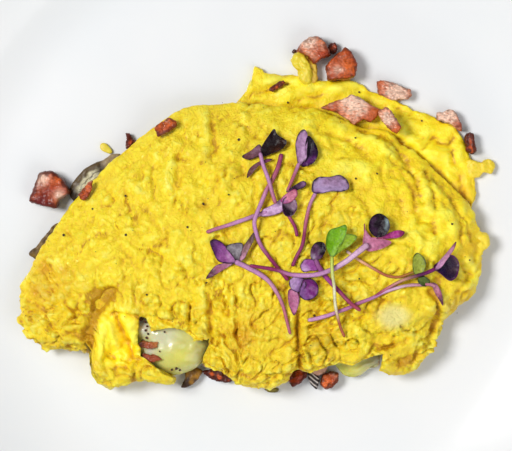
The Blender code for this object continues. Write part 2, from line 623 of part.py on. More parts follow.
def stem_sections(route, diameter, trees):
    """Middles, widths and heights of a round stem's sections, evenly spaced along its route."""
    length = sum(math.dist(a[:2], b[:2]) for a, b in zip(route, route[1:]))
    middles = draped(smooth_path(route, max(3, round(length / STEM_SPACING) + 1)), trees)
    girth = np.full(len(middles), diameter * MM)
    return middles, girth, girth


def leaf_sections(leaf, trees):
    """Middles, widths and heights of a seed leaf: narrow at its base, widest past the middle, blunt at the tip."""
    base_x, base_y, tip_x, tip_y, width, lift = leaf
    share = np.linspace(0, 1, LEAF_SECTIONS)
    plan = np.column_stack([
        base_x + share * (tip_x - base_x), base_y + share * (tip_y - base_y), np.full(LEAF_SECTIONS, lift),
    ])
    widths = width * MM * (0.2 + 0.8 * np.sin(math.pi * (0.08 + 0.8 * share) ** 1.25) ** 0.9)
    heights = LEAF_THICKNESS * (1 - 0.4 * share**4)
    return draped(plan, trees), widths, heights


def loft(name, sections, finish, collection):
    """A closed tube of flattened rings, one at each middle, level across and upright to the path."""
    middles, widths, heights = sections
    ways = np.gradient(middles, axis=0)
    ways /= np.linalg.norm(ways, axis=1)[:, None]
    sides = np.cross(ways, (0, 0, 1))
    sides /= np.linalg.norm(sides, axis=1)[:, None]
    ups = np.cross(sides, ways)
    angles = np.arange(SPROUT_SIDES) / SPROUT_SIDES * 2 * math.pi
    across = np.cos(angles)[None, :, None] * (sides * widths[:, None] / 2)[:, None, :]
    upright = np.sin(angles)[None, :, None] * (ups * heights[:, None] / 2)[:, None, :]
    rings = middles[:, None, :] + across + upright
    work = bmesh.new()
    rows = [[work.verts.new(point) for point in ring] for ring in rings]
    for low, high in zip(rows, rows[1:]):
        for k in range(SPROUT_SIDES):
            following = (k + 1) % SPROUT_SIDES
            work.faces.new((low[k], low[following], high[following], high[k]))
    work.faces.new(rows[0])
    work.faces.new(rows[-1])
    return add_object(name, mesh_from(name, work), finish, collection, smooth=True)


def build_sprouts(trees, collection, cutters):
    """The radish sprouts strewn over the upper leaf: each a stem with its seed leaves joined on."""
    finishes = {
        "lilac": material("sprout", SPROUT_LILAC, 0.45),
        "green": material("sprout_green", SPROUT_GREEN, 0.45),
    }
    for name, diameter, shade, route, leaves in SPROUTS:
        sprout = loft(name, stem_sections(route, diameter, trees), finishes[shade], collection)
        for number, leaf in enumerate(leaves, 1):
            cut(sprout, loft(f"{name}_leaf_{number}", leaf_sections(leaf, trees), None, cutters), "UNION")


def build():
    """Builds the whole dish."""
    clear_scene()
    dish = new_collection("folded_omelette")
    cutters = new_collection("cutters")
    build_plate(dish)
    egg = build_omelette(dish, cutters)
    cheese = build_cheese(egg, dish)
    build_mushrooms(dish)
    build_curd(dish)
    egg_tree = surface_of(egg)
    supports = {
        "plate": [],
        "egg": [egg_tree],
        "tear": [egg_tree, surface_of(cheese)],
    }
    build_ham(supports, dish)
    build_sprouts([egg_tree], dish, cutters)


build()
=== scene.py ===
"""Folded omelette with ham, mushrooms and melted cheese, topped with radish sprouts, on a white coupe plate.

The dish is dressed in the order in which a cook puts it together: plate, egg, filling, loose bits, sprouts, pepper.
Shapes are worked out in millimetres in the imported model's frame and turned into metres as each piece is made.
"""

import math

import bpy
import numpy as np
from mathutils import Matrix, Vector
from mathutils.bvhtree import BVHTree


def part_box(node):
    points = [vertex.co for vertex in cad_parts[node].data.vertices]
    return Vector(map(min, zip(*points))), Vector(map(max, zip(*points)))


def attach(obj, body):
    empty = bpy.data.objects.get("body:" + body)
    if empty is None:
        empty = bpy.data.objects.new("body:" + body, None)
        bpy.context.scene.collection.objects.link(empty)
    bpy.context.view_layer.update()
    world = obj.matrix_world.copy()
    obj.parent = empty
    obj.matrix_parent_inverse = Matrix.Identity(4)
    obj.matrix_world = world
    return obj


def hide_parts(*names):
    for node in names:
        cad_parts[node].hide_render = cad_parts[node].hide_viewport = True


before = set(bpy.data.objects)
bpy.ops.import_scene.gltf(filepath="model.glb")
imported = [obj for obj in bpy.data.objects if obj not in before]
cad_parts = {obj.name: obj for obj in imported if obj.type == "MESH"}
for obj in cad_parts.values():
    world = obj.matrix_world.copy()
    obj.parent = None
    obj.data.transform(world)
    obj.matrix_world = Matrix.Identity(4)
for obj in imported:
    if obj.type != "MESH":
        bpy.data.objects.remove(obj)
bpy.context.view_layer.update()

# ---------------------------------------------------------------- table, camera and light
# The dish stands on a plain pale table and is seen from straight above. A broad soft lamp shines from the left
# and a little from behind, and the pale room fills in the rest.

scene = bpy.context.scene
scene.view_settings.view_transform = "Standard"

room = bpy.data.worlds.new("pale_room")
room.use_nodes = True
room.node_tree.nodes["Background"].inputs["Color"].default_value = (0.93, 0.96, 1.0, 1)
room.node_tree.nodes["Background"].inputs["Strength"].default_value = 0.26
scene.world = room

camera = bpy.data.objects.new("camera", bpy.data.cameras.new("camera"))
camera.location = (0, 0, 1)
camera.data.sensor_width = 36
camera.data.lens = 36 * 0.98 / 0.2048
scene.collection.objects.link(camera)
scene.camera = camera

for lamp_name, lamp_place, lamp_size, lamp_power in (
    ("window", (-0.78, 0.22, 1.26), 0.48, 18.8),
    ("bounce", (0.34, -0.36, 0.46), 0.50, 1.5),
):
    lamp = bpy.data.objects.new(lamp_name, bpy.data.lights.new(lamp_name, "AREA"))
    lamp.data.size = lamp_size
    lamp.data.energy = lamp_power
    lamp.location = lamp_place
    lamp.rotation_euler = Vector(lamp_place).to_track_quat("Z", "Y").to_euler()
    scene.collection.objects.link(lamp)

table_mesh = bpy.data.meshes.new("table")
table_mesh.from_pydata([(-3, -3, 0), (3, -3, 0), (3, 3, 0), (-3, 3, 0)], [], [(0, 1, 2, 3)])
table = bpy.data.objects.new("table", table_mesh)
table_paint = bpy.data.materials.new("pale_table")
table_paint.use_nodes = True
table_paint.node_tree.nodes["Principled BSDF"].inputs["Base Color"].default_value = (0.74, 0.74, 0.73, 1)
table_paint.node_tree.nodes["Principled BSDF"].inputs["Roughness"].default_value = 0.7
table_mesh.materials.append(table_paint)
scene.collection.objects.link(table)

# ---------------------------------------------------------------- plate
# A white glazed stoneware coupe plate, turned on a wheel: flat well, soft rise, rounded lip and foot ring.
# The glaze is glossy and very slightly uneven.

MM = 0.001
WELL_TOP = 9.0


def skin_over(rings):
    """Points and faces of the closed surface through rings of equally many points (ring, place on it, xyz).

    The first and last rings are drawn together to their middles. Where the volume inside comes out negative,
    the faces are turned over so that they look outwards.
    """
    count = rings.shape[1]
    points = np.vstack([rings[0].mean(axis=0), rings[1:-1].reshape(-1, 3), rings[-1].mean(axis=0)])
    index = 1 + np.arange((len(rings) - 2) * count).reshape(-1, count)
    beside = np.roll(index, -1, axis=1)
    walls = np.stack([index[:-1], beside[:-1], beside[1:], index[1:]], axis=-1).reshape(-1, 4)
    start = np.stack([np.zeros(count, int), beside[0], index[0]], axis=-1)
    end = np.stack([np.full(count, len(points) - 1), index[-1], beside[-1]], axis=-1)
    corners = points[np.vstack([walls[:, [0, 1, 2]], walls[:, [0, 2, 3]], start, end])]
    volume = np.einsum("ij,ij->", corners[:, 0], np.cross(corners[:, 1], corners[:, 2]))
    turn = slice(None, None, -1 if volume < 0 else 1)
    return points, walls[:, turn].tolist() + start[:, turn].tolist() + end[:, turn].tolist()


def add_piece(name, points, faces, finish, slot, stands_for=()):
    """A piece of the dish from points in millimetres: it rides with the dish, shows in place of the CAD nodes
    that it stands for, and wears the given finish. The slot is not used."""
    mesh = bpy.data.meshes.new(name)
    mesh.from_pydata(points * MM, [], faces)
    mesh.shade_smooth()
    mesh.materials.append(finish)
    piece = bpy.data.objects.new(name, mesh)
    scene.collection.objects.link(piece)
    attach(piece, "root")
    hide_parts(*stands_for)
    return piece


def tint(red, green, blue):
    """Linear colour of an sRGB colour given from 0 to 255."""
    linear = [(v / 255 / 12.92) if v < 11 else ((v / 255 + 0.055) / 1.055) ** 2.4 for v in (red, green, blue)]
    return (*linear, 1)


def add_node(tree, kind, settings=(), **sockets):
    """A shader node: settings are its own properties; sockets are inputs by name, with _ for a space, or by i0, i1;
    each takes a value or another node's output."""
    made = tree.nodes.new(kind)
    for key, value in dict(settings).items():
        setattr(made, key, value)
    for key, value in sockets.items():
        place = int(key[1:]) if key[0] == "i" and key[1:].isdigit() else key.replace("_", " ")
        if isinstance(value, bpy.types.NodeSocket):
            tree.links.new(value, made.inputs[place])
        else:
            made.inputs[place].default_value = value
    return made


def add_ramp(tree, factor, stops):
    """A colour ramp's output: stops are (place, colour)."""
    made = add_node(tree, "ShaderNodeValToRGB", Fac=factor)
    ramp = made.color_ramp
    while len(ramp.elements) < len(stops):
        ramp.elements.new(0.5)
    for element, (place, colour) in zip(ramp.elements, stops):
        element.position = place
        element.color = colour
    return made.outputs["Color"]


def add_mix(tree, factor, first, second, blend="MIX"):
    """Colour mixed from first to second by a factor."""
    made = tree.nodes.new("ShaderNodeMix")
    made.data_type = "RGBA"
    made.blend_type = blend
    for place, value in ((0, factor), (6, first), (7, second)):
        if isinstance(value, bpy.types.NodeSocket):
            tree.links.new(value, made.inputs[place])
        else:
            made.inputs[place].default_value = value
    return made.outputs[2]


def new_finish(name, roughness, **sockets):
    """A material, its node tree, its shader and the object's own coordinates."""
    made = bpy.data.materials.new(name)
    made.use_nodes = True
    tree = made.node_tree
    shader = tree.nodes["Principled BSDF"]
    shader.inputs["Roughness"].default_value = roughness
    for key, value in sockets.items():
        shader.inputs[key.replace("_", " ")].default_value = value
    return made, tree, shader, tree.nodes.new("ShaderNodeTexCoord").outputs["Object"]


glaze, tree, shader, where = new_finish("white_glaze", 0.2, Coat_Weight=0.3, Coat_Roughness=0.08)
cloud = add_node(tree, "ShaderNodeTexNoise", Vector=where, Scale=16.0, Detail=3.0)
tree.links.new(
    add_ramp(tree, cloud.outputs["Fac"], [(0.3, tint(231, 233, 234)), (0.7, tint(236, 236, 236))]),
    shader.inputs["Base Color"],
)
speckle = add_node(tree, "ShaderNodeTexNoise", Vector=where, Scale=90.0, Detail=2.0)
dimple = add_node(tree, "ShaderNodeBump", Strength=0.12, Distance=0.0004, Height=speckle.outputs["Fac"])
tree.links.new(dimple.outputs["Normal"], shader.inputs["Normal"])
tree.links.new(
    add_node(tree, "ShaderNodeMapRange", i0=cloud.outputs["Fac"], i3=0.16, i4=0.26).outputs[0],
    shader.inputs["Roughness"],
)

rise = np.linspace(0, 1, 14)
lip = np.linspace(0.5, -0.5, 9) * math.pi
profile = np.vstack([
    np.column_stack([np.linspace(0, 104, 24), np.full(24, WELL_TOP)]),
    np.column_stack([104 + 44 * rise[1:], WELL_TOP + 18 * rise[1:] ** 1.7]),
    np.column_stack([148 + 2.0 * np.cos(lip[1:-1]), 25.0 + 2.0 * np.sin(lip[1:-1])]),
    np.column_stack([103 + 44 * rise[::-1], 4.6 + 18 * rise[::-1] ** 1.7]),
    [(96, 4.0), (91, 3.4), (89, 2.2), (88.2, 0.6), (87, 0), (82, 0), (80.8, 0.6), (80.2, 2.6), (79, 3.2), (40, 3.2), (0, 3.2)],
])
turn_angles = np.arange(240) / 240 * 2 * math.pi
plate_rings = np.stack([
    profile[:, :1] * np.cos(turn_angles), profile[:, :1] * np.sin(turn_angles),
    np.repeat(profile[:, 1:], 240, axis=1),
], axis=-1)
add_piece("glazed_plate", *skin_over(plate_rings), glaze, "glaze", ["plate"])

# ---------------------------------------------------------------- folded egg
# A round sheet of beaten egg, set in a pan until its face is grained with fine curd, and folded once over its
# filling. Its free edges are ragged, and along the fold it has torn open in three places.

SHEET = 4.2
LOWER_MID = 11.4
RIM_MID = 16.1
FOLD_MIDDLE = (-5.0, -60.0)
UPPER_EDGE = [
    (65, -56.4), (70.6, -47), (75.4, -38.4), (79.4, -32), (83.8, -29), (88.2, -25), (90.5, -15), (90, -4), (86.5, 7), (76, 19),
    (60, 32), (53, 37), (42, 39.5), (33, 43), (25, 46.2), (8, 48), (-10, 49), (-29, 46.5), (-43, 38),
    (-57, 26), (-71, 11.5), (-84, -6), (-92, -20), (-95, -33), (-92.5, -43), (-85, -48),
]
LOWER_EDGE = [
    (65, -56.4), (68.6, -47), (73.6, -37), (79, -24), (84, -10), (87, 2), (88.4, 17), (86.4, 26.4), (81.6, 38.2),
    (73.6, 42.4), (60, 48.5), (49, 53.5), (36, 58.4), (27, 58), (16.4, 60), (9.4, 60.2), (4.8, 60.4), (1.4, 63),
    (-1, 63.6), (-2.2, 57), (-6.6, 51.4), (-12, 47),
    (-24, 42), (-38, 32), (-51, 19), (-64, 3), (-76, -13), (-86, -28), (-87, -40), (-85, -48),
]
FOLD_LINE = [
    (-85, -48), (-74, -48), (-66.4, -48.4), (-64.6, -50.4), (-63.4, -57.6), (-61.2, -61.8), (-53, -62.2),
    (-44, -60.2), (-36, -61),
    (-28, -58.6), (-20, -57), (-5, -62), (5, -63), (14, -60), (30, -57), (45, -57), (56, -58.6), (65, -56.4),
]
# Broad swellings and hollows of the upper leaf: x, y, radius, height.
SWELLINGS = [
    (28, 8, 34, 3.5), (-20, -8, 26, 2.0), (-58, -14, 20, 1.5), (62, -12, 18, 2.0),
    (-53, -50, 11, -7.0), (70, -44, 12, 1.5), (-2, -46, 14, 1.5),
]
# Creases (negative) and ridges of the upper leaf: points, width and height.
FOLDS = [
    ([(-58.4, -27), (-61.4, -31), (-64, -35.4), (-66, -41.8), (-65.8, -48)], 2.0, -4.2),
    ([(-66.8, -29.6), (-62.4, -27.8), (-58.6, -27)], 2.4, -1.6),
    ([(-61, -37), (-62.6, -43), (-62.2, -49)], 2.2, 1.3),
    ([(-56.8, -34.6), (-51.4, -35.6), (-47, -36.2)], 0.8, -2.4),
    ([(-57, -32.8), (-51, -33.6), (-46.6, -34.4)], 1.5, 0.9),
    ([(-55.6, -36.8), (-53.6, -41), (-51.4, -46), (-50, -52)], 1.0, -2.0),
    ([(-52.6, -36.2), (-50.4, -40.4), (-48.8, -46)], 1.7, 1.5),
    ([(-58.4, -38), (-57.4, -43), (-55, -49), (-53.6, -54)], 1.3, 1.3),
    ([(-60, -49.6), (-56, -52.4), (-51, -53.6), (-48, -53)], 1.0, -1.6),
    ([(-57, -57), (-53, -56.4), (-50.4, -58)], 0.8, -1.3),
    ([(-46.8, -52.8), (-47.6, -57), (-49, -61.4)], 0.9, -1.8),
    ([(-71.2, -33.8), (-71.8, -42.4)], 1.5, -1.3),
    ([(-75.4, -42.4), (-71, -43.6), (-67.4, -43)], 0.8, -1.8),
    ([(-75, -46.2), (-69.4, -47.2), (-66, -46)], 1.8, 1.1),
    ([(-91, -30), (-86, -33), (-80, -33.6)], 1.0, -1.1),
    ([(-84, -40), (-79, -38.4), (-76, -35)], 1.0, -1.0),
    ([(-88, -38), (-84, -36)], 1.8, 0.9),
    ([(-17.8, 47), (-17.4, 40), (-16.4, 34), (-16, 29)], 1.2, -1.5),
    ([(-21, 45), (-20.6, 37), (-19.8, 30)], 2.0, 1.0),
    ([(-31.8, 26), (-31, 20.5), (-31.2, 14.5)], 1.1, -1.3),
    ([(-34.6, 23), (-34.2, 16)], 2.2, 1.1),
    ([(-46, 8), (-40, 2), (-36, -6)], 1.4, -0.8),
    ([(-60, -4), (-52, -10), (-46, -18)], 1.6, -0.7),
    ([(-19.2, -22.6), (-18.6, -31), (-18.2, -40), (-17.6, -46)], 1.1, -1.7),
    ([(-21.8, -24), (-21.2, -34), (-20.8, -45)], 2.0, 0.9),
    ([(-13.4, -40.4), (-11, -43.6), (-7, -43)], 1.3, -1.2),
    ([(-12, -57.6), (-4, -59.4), (6, -59.8), (13.4, -59)], 0.9, -1.8),
    ([(16, -34), (16.4, -42), (17, -50), (17.6, -58)], 0.9, -3.0),
    ([(13.6, -36), (13.8, -46), (14, -56)], 2.0, 0.8),
    ([(40, 38), (47, 37.6), (54, 33.6), (60, 26), (64.6, 17), (66, 9)], 0.7, -1.5),
    ([(46, 34.6), (52, 30), (57, 23), (60, 16)], 1.2, 0.7),
    ([(53, 27.6), (58, 21.6), (62.4, 14.6), (64, 5)], 0.7, -1.3),
    ([(60, 24), (64, 19.6), (67, 13)], 0.6, -1.0),
    ([(67.6, 22), (70, 15.6), (71.4, 8), (71, -3)], 0.7, -1.4),
    ([(65.4, 21), (68, 13), (68.4, 3)], 1.3, 0.8),
    ([(71, 20), (74.4, 14), (76, 6)], 0.6, -1.0),
    ([(75, 16), (79, 8.6), (81.8, 1), (82, -7)], 0.7, -1.4),
    ([(72.8, 16), (76.6, 8), (78.4, -2)], 1.2, 0.8),
    ([(80, 9), (84, 1), (86, -6)], 0.6, -1.0),
    ([(36, 35), (44, 29), (50, 20.6), (53, 11)], 0.8, -0.9),
    ([(28, 37), (38, 33.4), (44, 30.6)], 0.8, -1.1),
    ([(40, 26), (45, 19), (47, 10)], 1.5, 0.6),
    ([(66, -10), (71, -16), (72, -23)], 0.8, -1.1),
    ([(58, 10), (59, 2), (56, -6)], 0.9, -0.7),
    ([(48, -49.4), (54, -47.6), (61.6, -45)], 1.1, -2.0),
    ([(69.6, -26), (73.4, -34), (71, -42), (66.4, -50), (56, -56)], 1.4, -2.0),
    ([(73, -27), (76.4, -34.6), (72.4, -43.6), (66, -52)], 1.9, 1.3),
    ([(61, -42), (65, -46.4)], 2.6, 1.4),
    ([(80.8, -26.6), (84.4, -21.6), (86, -20)], 1.3, -1.6),
    ([(85, -14), (88, -19), (84.6, -24)], 2.2, 1.5),
]
# The same for what shows of the lower leaf.
LOWER_FOLDS = [
    ([(-4, 51.6), (0.4, 53.2), (4.8, 54.4), (9, 56), (13, 57.6)], 0.9, -1.6),
    ([(-1.6, 56), (3, 57.6), (8, 58.8)], 1.6, 1.1),
    ([(12, 51.8), (18, 54.4), (26, 55.8), (34, 55)], 1.5, 1.1),
    ([(15, 49.6), (21, 51.6), (27, 52.6)], 0.8, -1.2),
    ([(56, 40), (61, 37), (66, 33)], 3.0, 1.6),
    ([(55.6, 36.6), (60.4, 33), (64, 29)], 0.9, -1.1),
    ([(60.4, 42), (62.6, 38), (66.6, 36)], 0.9, -1.1),
    ([(67.2, 30.2), (69.6, 33.4), (71.6, 36.2), (73.6, 33), (77.2, 33), (80.4, 35)], 0.8, -1.9),
    ([(67.6, 35), (69.6, 37.6)], 1.8, 1.2),
    ([(78.4, 31), (79.6, 28.2), (80, 24)], 0.9, -1.6),
    ([(72, 30), (76, 29), (76.6, 24)], 2.4, 1.3),
    ([(83, 31), (83.6, 26)], 1.8, 0.9),
    ([(79, 22), (83, 18), (84, 12)], 1.0, -1.2),
    ([(45, 50), (52, 47.6), (58, 46)], 0.9, -0.9),
]


def curve_through(points, count, closed=False):
    """count points evenly spaced by length along the Catmull-Rom curve through points: between two of them it
    is the cubic whose slope at each is half the step from the point before to the point after."""
    knots = np.array(points, float)
    if closed:
        padded = np.vstack([knots[-1], knots, knots[:2]])
    else:
        padded = np.vstack([2 * knots[0] - knots[1], knots, 2 * knots[-1] - knots[-2]])
    t = np.linspace(0, 1, 24, endpoint=False)[:, None]
    spans = [
        0.5 * (2 * b + (c - a) * t + (2 * a - 5 * b + 4 * c - d) * t**2 + (3 * b - a - 3 * c + d) * t**3)
        for a, b, c, d in zip(padded, padded[1:], padded[2:], padded[3:])
    ]
    return evenly(np.vstack(spans + [padded[-2][None]]), count, closed)


def evenly(line, count, closed=False):
    """count points evenly spaced by length along a line of straight steps."""
    run = np.concatenate([[0], np.cumsum(np.linalg.norm(np.diff(line, axis=0), axis=1))])
    wanted = np.linspace(0, run[-1], count, endpoint=not closed)
    return np.column_stack([np.interp(wanted, run, line[:, k]) for k in range(line.shape[1])])


def grain(spots, size, seed):
    """Smooth unevenness from about -1 to 1 with bumps of the given size: every corner of a lattice of cubes gets
    a slope, and the slopes of a cube's eight corners are blended by 6t^5 - 15t^4 + 10t^3."""
    slopes = np.random.default_rng(seed).normal(size=(4096, 3))
    slopes /= np.linalg.norm(slopes, axis=1)[:, None]
    place = spots / size
    corner = np.floor(place).astype(int)
    inside = place - corner
    ease = inside**3 * (inside * (6 * inside - 15) + 10)
    total = np.zeros(place.shape[:-1])
    for step in np.ndindex(2, 2, 2):
        at = corner + step
        pick = (at[..., 0] * 73856093 ^ at[..., 1] * 19349663 ^ at[..., 2] * 83492791) % 4096
        share = np.prod(np.where(np.array(step) == 1, ease, 1 - ease), axis=-1)
        total += share * np.sum(slopes[pick] * (inside - step), axis=-1)
    return total * 1.7


def beside(x, y, line):
    """Distance in plan from points to a line of straight steps, and which side of it they are on (1 is left)."""
    nearest = np.full(x.shape, 1e9)
    side = np.ones(x.shape)
    for (ax, ay), (bx, by) in zip(line, line[1:]):
        dx, dy = bx - ax, by - ay
        share = np.clip(((x - ax) * dx + (y - ay) * dy) / (dx * dx + dy * dy), 0, 1)
        away = np.hypot(x - ax - share * dx, y - ay - share * dy)
        left = np.sign(dx * (y - ay) - dy * (x - ax))
        side = np.where(away < nearest, left, side)
        nearest = np.minimum(away, nearest)
    return nearest, side


def smooth_step(value, low, high):
    """0 below low, 1 above high, and 3t^2 - 2t^3 between them."""
    share = np.clip((value - low) / (high - low), 0, 1)
    return share * share * (3 - 2 * share)


def ragged(outline, seed):
    """An outline that strays from its curve by grain of three sizes, but keeps its two ends."""
    line = curve_through(outline, 900)
    way = np.gradient(line, axis=0)
    out = np.column_stack([way[:, 1], -way[:, 0]]) / np.linalg.norm(way, axis=1)[:, None]
    flat = np.column_stack([line, np.zeros(len(line))])
    stray = 0.9 * grain(flat, 11, seed) + 0.6 * grain(flat, 4.5, seed + 1) + 0.35 * grain(flat, 2.2, seed + 2)
    ends = np.minimum(np.linspace(0, 1, 900), np.linspace(1, 0, 900))
    smoother = 1 - 0.65 * smooth_step(-line[:, 0], -5, 15) * smooth_step(line[:, 1], -25, -10)
    return line + out * (stray * smoother * np.minimum(ends / 0.03, 1))[:, None]


upper_rim = ragged(UPPER_EDGE, 11)
lower_rim = ragged(LOWER_EDGE, 21)
fold_line = curve_through(FOLD_LINE, 300)
FOLD_ENDS = ([UPPER_EDGE[-1][0], FOLD_MIDDLE[0], UPPER_EDGE[0][0]], [UPPER_EDGE[-1][1], FOLD_MIDDLE[1], UPPER_EDGE[0][1]])


def upper_level(x, y, inset, back):
    """Height of the upper leaf's middle surface: it climbs from its free edge as 1 - e^(-inset / 15 mm), carries
    the broad swellings, and stands a little higher next to the fold."""
    level = RIM_MID + 10 * (1 - np.exp(-inset / 15))
    for sx, sy, radius, height in SWELLINGS:
        level += height * np.exp(-((x - sx) ** 2 + (y - sy) ** 2) / radius**2) * (1 - np.exp(-inset / 6))
    return level + 2.5 * np.exp(-((back / 8) ** 2))


def folded(reach, share, side):
    """Middle surface of the folded sheet, and how far each point is from the free edge.

    A point lies at a share of the way round its leaf's edge (side 1 is the upper leaf, -1 the lower) and at a
    reach from the middle of the fold, 0, to that edge, 1. Near the fold both leaves follow a quarter of an
    ellipse into the rounded nose, and the line of the fold waves to and fro.
    """
    at = np.linspace(0, 1, 900)
    rim = upper_rim if side > 0 else lower_rim
    step_x = np.interp(share, at, rim[:, 0]) - FOLD_MIDDLE[0]
    step_y = np.interp(share, at, rim[:, 1]) - FOLD_MIDDLE[1]
    span = np.hypot(step_x, step_y)
    reach = reach * (1 - 1.2 / span)
    x = FOLD_MIDDLE[0] + reach * step_x
    y = FOLD_MIDDLE[1] + reach * step_y
    plain = np.interp(x, *FOLD_ENDS)
    back = np.maximum(y - plain, 0)
    y = y + (np.interp(x, fold_line[:, 0], fold_line[:, 1]) - plain) * np.exp(-((back / 14) ** 2))
    inset = (1 - reach) * span
    half = (upper_level(x, y, inset, back) - LOWER_MID) / 2
    turned = 1 - np.minimum(back / (half * 1.2), 1)
    return np.stack([x, y, LOWER_MID + half * (1 + side * np.sqrt(1 - turned**2))], axis=-1), inset


def facing(rings):
    """Unit normals of a grid of rings: the step to the next ring crossed with the step round the ring."""
    normal = np.cross(np.gradient(rings, axis=0), np.roll(rings, -1, axis=1) - np.roll(rings, 1, axis=1))
    normal[0] = normal[1].mean(axis=0)
    return normal / np.maximum(np.linalg.norm(normal, axis=-1, keepdims=True), 1e-9)


UPPER_TEAR = [
    (-46.6, -36), (-43.5, -37.2), (-41.8, -42), (-34.4, -40.6), (-30, -41), (-26, -43.4), (-24.6, -46),
    (-18.4, -44.8), (-19.4, -49), (-21.2, -54.6), (-20.5, -57), (-22, -72), (-31.6, -72), (-32.4, -61),
    (-37.4, -58.2), (-41.6, -55), (-46, -51.8), (-47.2, -46),
]
NOTCH_TEAR = [
    (-31.6, -60.6), (-27, -54.6), (-21.2, -54.6), (-20.4, -56.2), (-13.6, -58.2), (-8.4, -62.2), (-8.4, -72),
    (-32, -72),
]
FRONT_TEAR = [
    (12.5, -72), (13, -60.6), (14.6, -58.4), (17, -57.2), (22, -58.6), (28, -56.4), (33, -54.6),
    (38.5, -55.4), (42, -53.6), (47, -51.6), (50.6, -51), (50.4, -55), (49.2, -57.8), (53, -60), (54.5, -72),
]
TONGUE_GAP = [(27.5, -72), (28, -49), (41, -47.5), (54, -47), (54.5, -72)]


def from_tears(x, y):
    """Distance in plan to the nearest tear of the upper leaf."""
    return np.minimum.reduce([beside(x, y, tear + tear[:1])[0] for tear in (UPPER_TEAR, NOTCH_TEAR, FRONT_TEAR)])


def silkiness(x, y):
    """0 where the egg is grained with curd and 1 where it is smooth, at the right and in the hollow pleat."""
    right = smooth_step(0.75 * x + 0.66 * y, 18, 62)
    pleat = smooth_step(np.hypot((x + 55) / 9.5, (y + 45) / 12), 1.15, 0.8)
    return np.clip(0.75 * right + pleat, 0, 1)


def inside(x, y, outline):
    """Whether points lie inside a closed outline, by counting how often a line to the right crosses it."""
    crossed = np.zeros(x.shape, int)
    for (ax, ay), (bx, by) in zip(outline, outline[1:] + outline[:1]):
        spans = (ay > y) != (by > y)
        crossed += spans & (x < ax + (y - ay) / ((by - ay) or 1e-9) * (bx - ax))
    return crossed % 2 == 1


def thinness(x, y):
    """1 over the thin smooth place at the right, through which the cheese shows pale, and 0 away from it."""
    place = np.stack([x, y, np.zeros_like(x)], axis=-1)
    return smooth_step(np.hypot((x - 54.6) / 7.0, (y + 36.2) / 5.2) + 0.1 * grain(place, 5, 73), 1.3, 0.4)


upper_outline = [tuple(spot) for spot in upper_rim[::10]]


def egg_relief(spots):
    """How far the egg's face stands out or in, in millimetres, as broad waves and as what is finer: the folds,
    which are bell-shaped ridges and grooves, and curd, which is grain's size turned over so that round lumps meet
    in narrow creases. What lies between the leaves stays smooth."""
    x, y, z = spots[..., 0], spots[..., 1], spots[..., 2]
    smooth = silkiness(x, y)
    coarse = smooth_step(-y, 14, 36) * (1 - smooth) + 0.8 * smooth_step(-x, 70, 82)
    patchy = 0.55 + 0.9 * smooth_step(grain(spots, 8, 10), -0.5, 0.6)
    pulled = np.exp(-(((0.92 * x - 0.39 * y - 74.5) / 6) ** 2)) * smooth_step(-y, 14, 24)
    rough = (1 - 0.6 * smooth + 0.45 * coarse) * patchy * (1 - 0.95 * thinness(x, y)) * (1 - 0.5 * pulled)
    below = smooth_step(z, 15.4, 13.6)
    broad = 0.9 * grain(spots, 24, 1) + 1.6 * grain(spots, 9, 2) * (1 - 0.5 * below)
    bent_x = x + 0.9 * grain(spots, 6, 8) + 0.5 * grain(spots, 2.4, 11)
    bent_y = y + 0.9 * grain(spots, 6, 9) + 0.5 * grain(spots, 2.4, 12)
    fading = 0.7 + 0.6 * smooth_step(grain(spots, 7, 13), -0.5, 0.5)
    fine = np.zeros(x.shape)
    for lines, part in ((FOLDS, (1 - below) * fading), (LOWER_FOLDS, below * fading)):
        for line, width, height in lines:
            away, _ = beside(bent_x, bent_y, line)
            fine += part * height * np.exp(-((away / width) ** 2))
    fine += rough * 1.2 * (smooth_step(np.abs(grain(spots, 7.5, 3)), 0, 0.18) - 0.8)
    fine += rough * 1.75 * (np.abs(grain(spots, 3.8, 4)) - 0.25)
    fine += rough * 0.9 * (np.abs(grain(spots, 2.0, 6)) - 0.25)
    stretched = spots @ np.array([[0.8, 0.6, 0], [-0.6, 0.8, 0], [0, 0, 1]])
    fine += smooth * 2.3 * (np.abs(grain(stretched * (1, 0.45, 1), 6.5, 5)) - 0.25)
    fine += smooth * (0.9 + 0.6 * below) * (np.abs(grain(spots, 2.8, 7)) - 0.25)
    from_rim = beside(x, y, upper_outline)[0]
    fine -= below * 1.3 * np.exp(-((from_rim / 1.2) ** 2))
    shown = 1 - below * inside(x, y, upper_outline) * smooth_step(from_rim, 1, 2.5)
    shown *= 1 - 0.5 * np.exp(-((from_rim / 5) ** 2)) * smooth_step(-x, -5, 15) * smooth_step(y, -25, -10)
    return broad * shown, fine * shown


UPPER_COLUMNS, LOWER_COLUMNS, RINGS = 370, 150, 145
crowd = np.linspace(0, 1, UPPER_COLUMNS)
crowd = np.where(crowd < 0.5, 0.5 * (2 * crowd) ** 1.25, 1 - 0.5 * (2 - 2 * crowd) ** 1.25)
upper_reach = np.linspace(0, 1, RINGS)[:, None] ** 1.15


def egg_rings(reach):
    """Middle surface at every ring and round the whole sheet: over the upper leaf and back by the lower one."""
    over, over_inset = folded(reach, crowd[None, :], 1)
    back_share = np.interp(np.linspace(1, 0, LOWER_COLUMNS + 2)[1:-1], (0, 0.08, 0.88, 1), (0, 0.12, 0.66, 1))[None]
    under, under_inset = folded(reach, back_share, -1)
    return np.concatenate([over, under], axis=1), np.concatenate([over_inset, under_inset], axis=1)


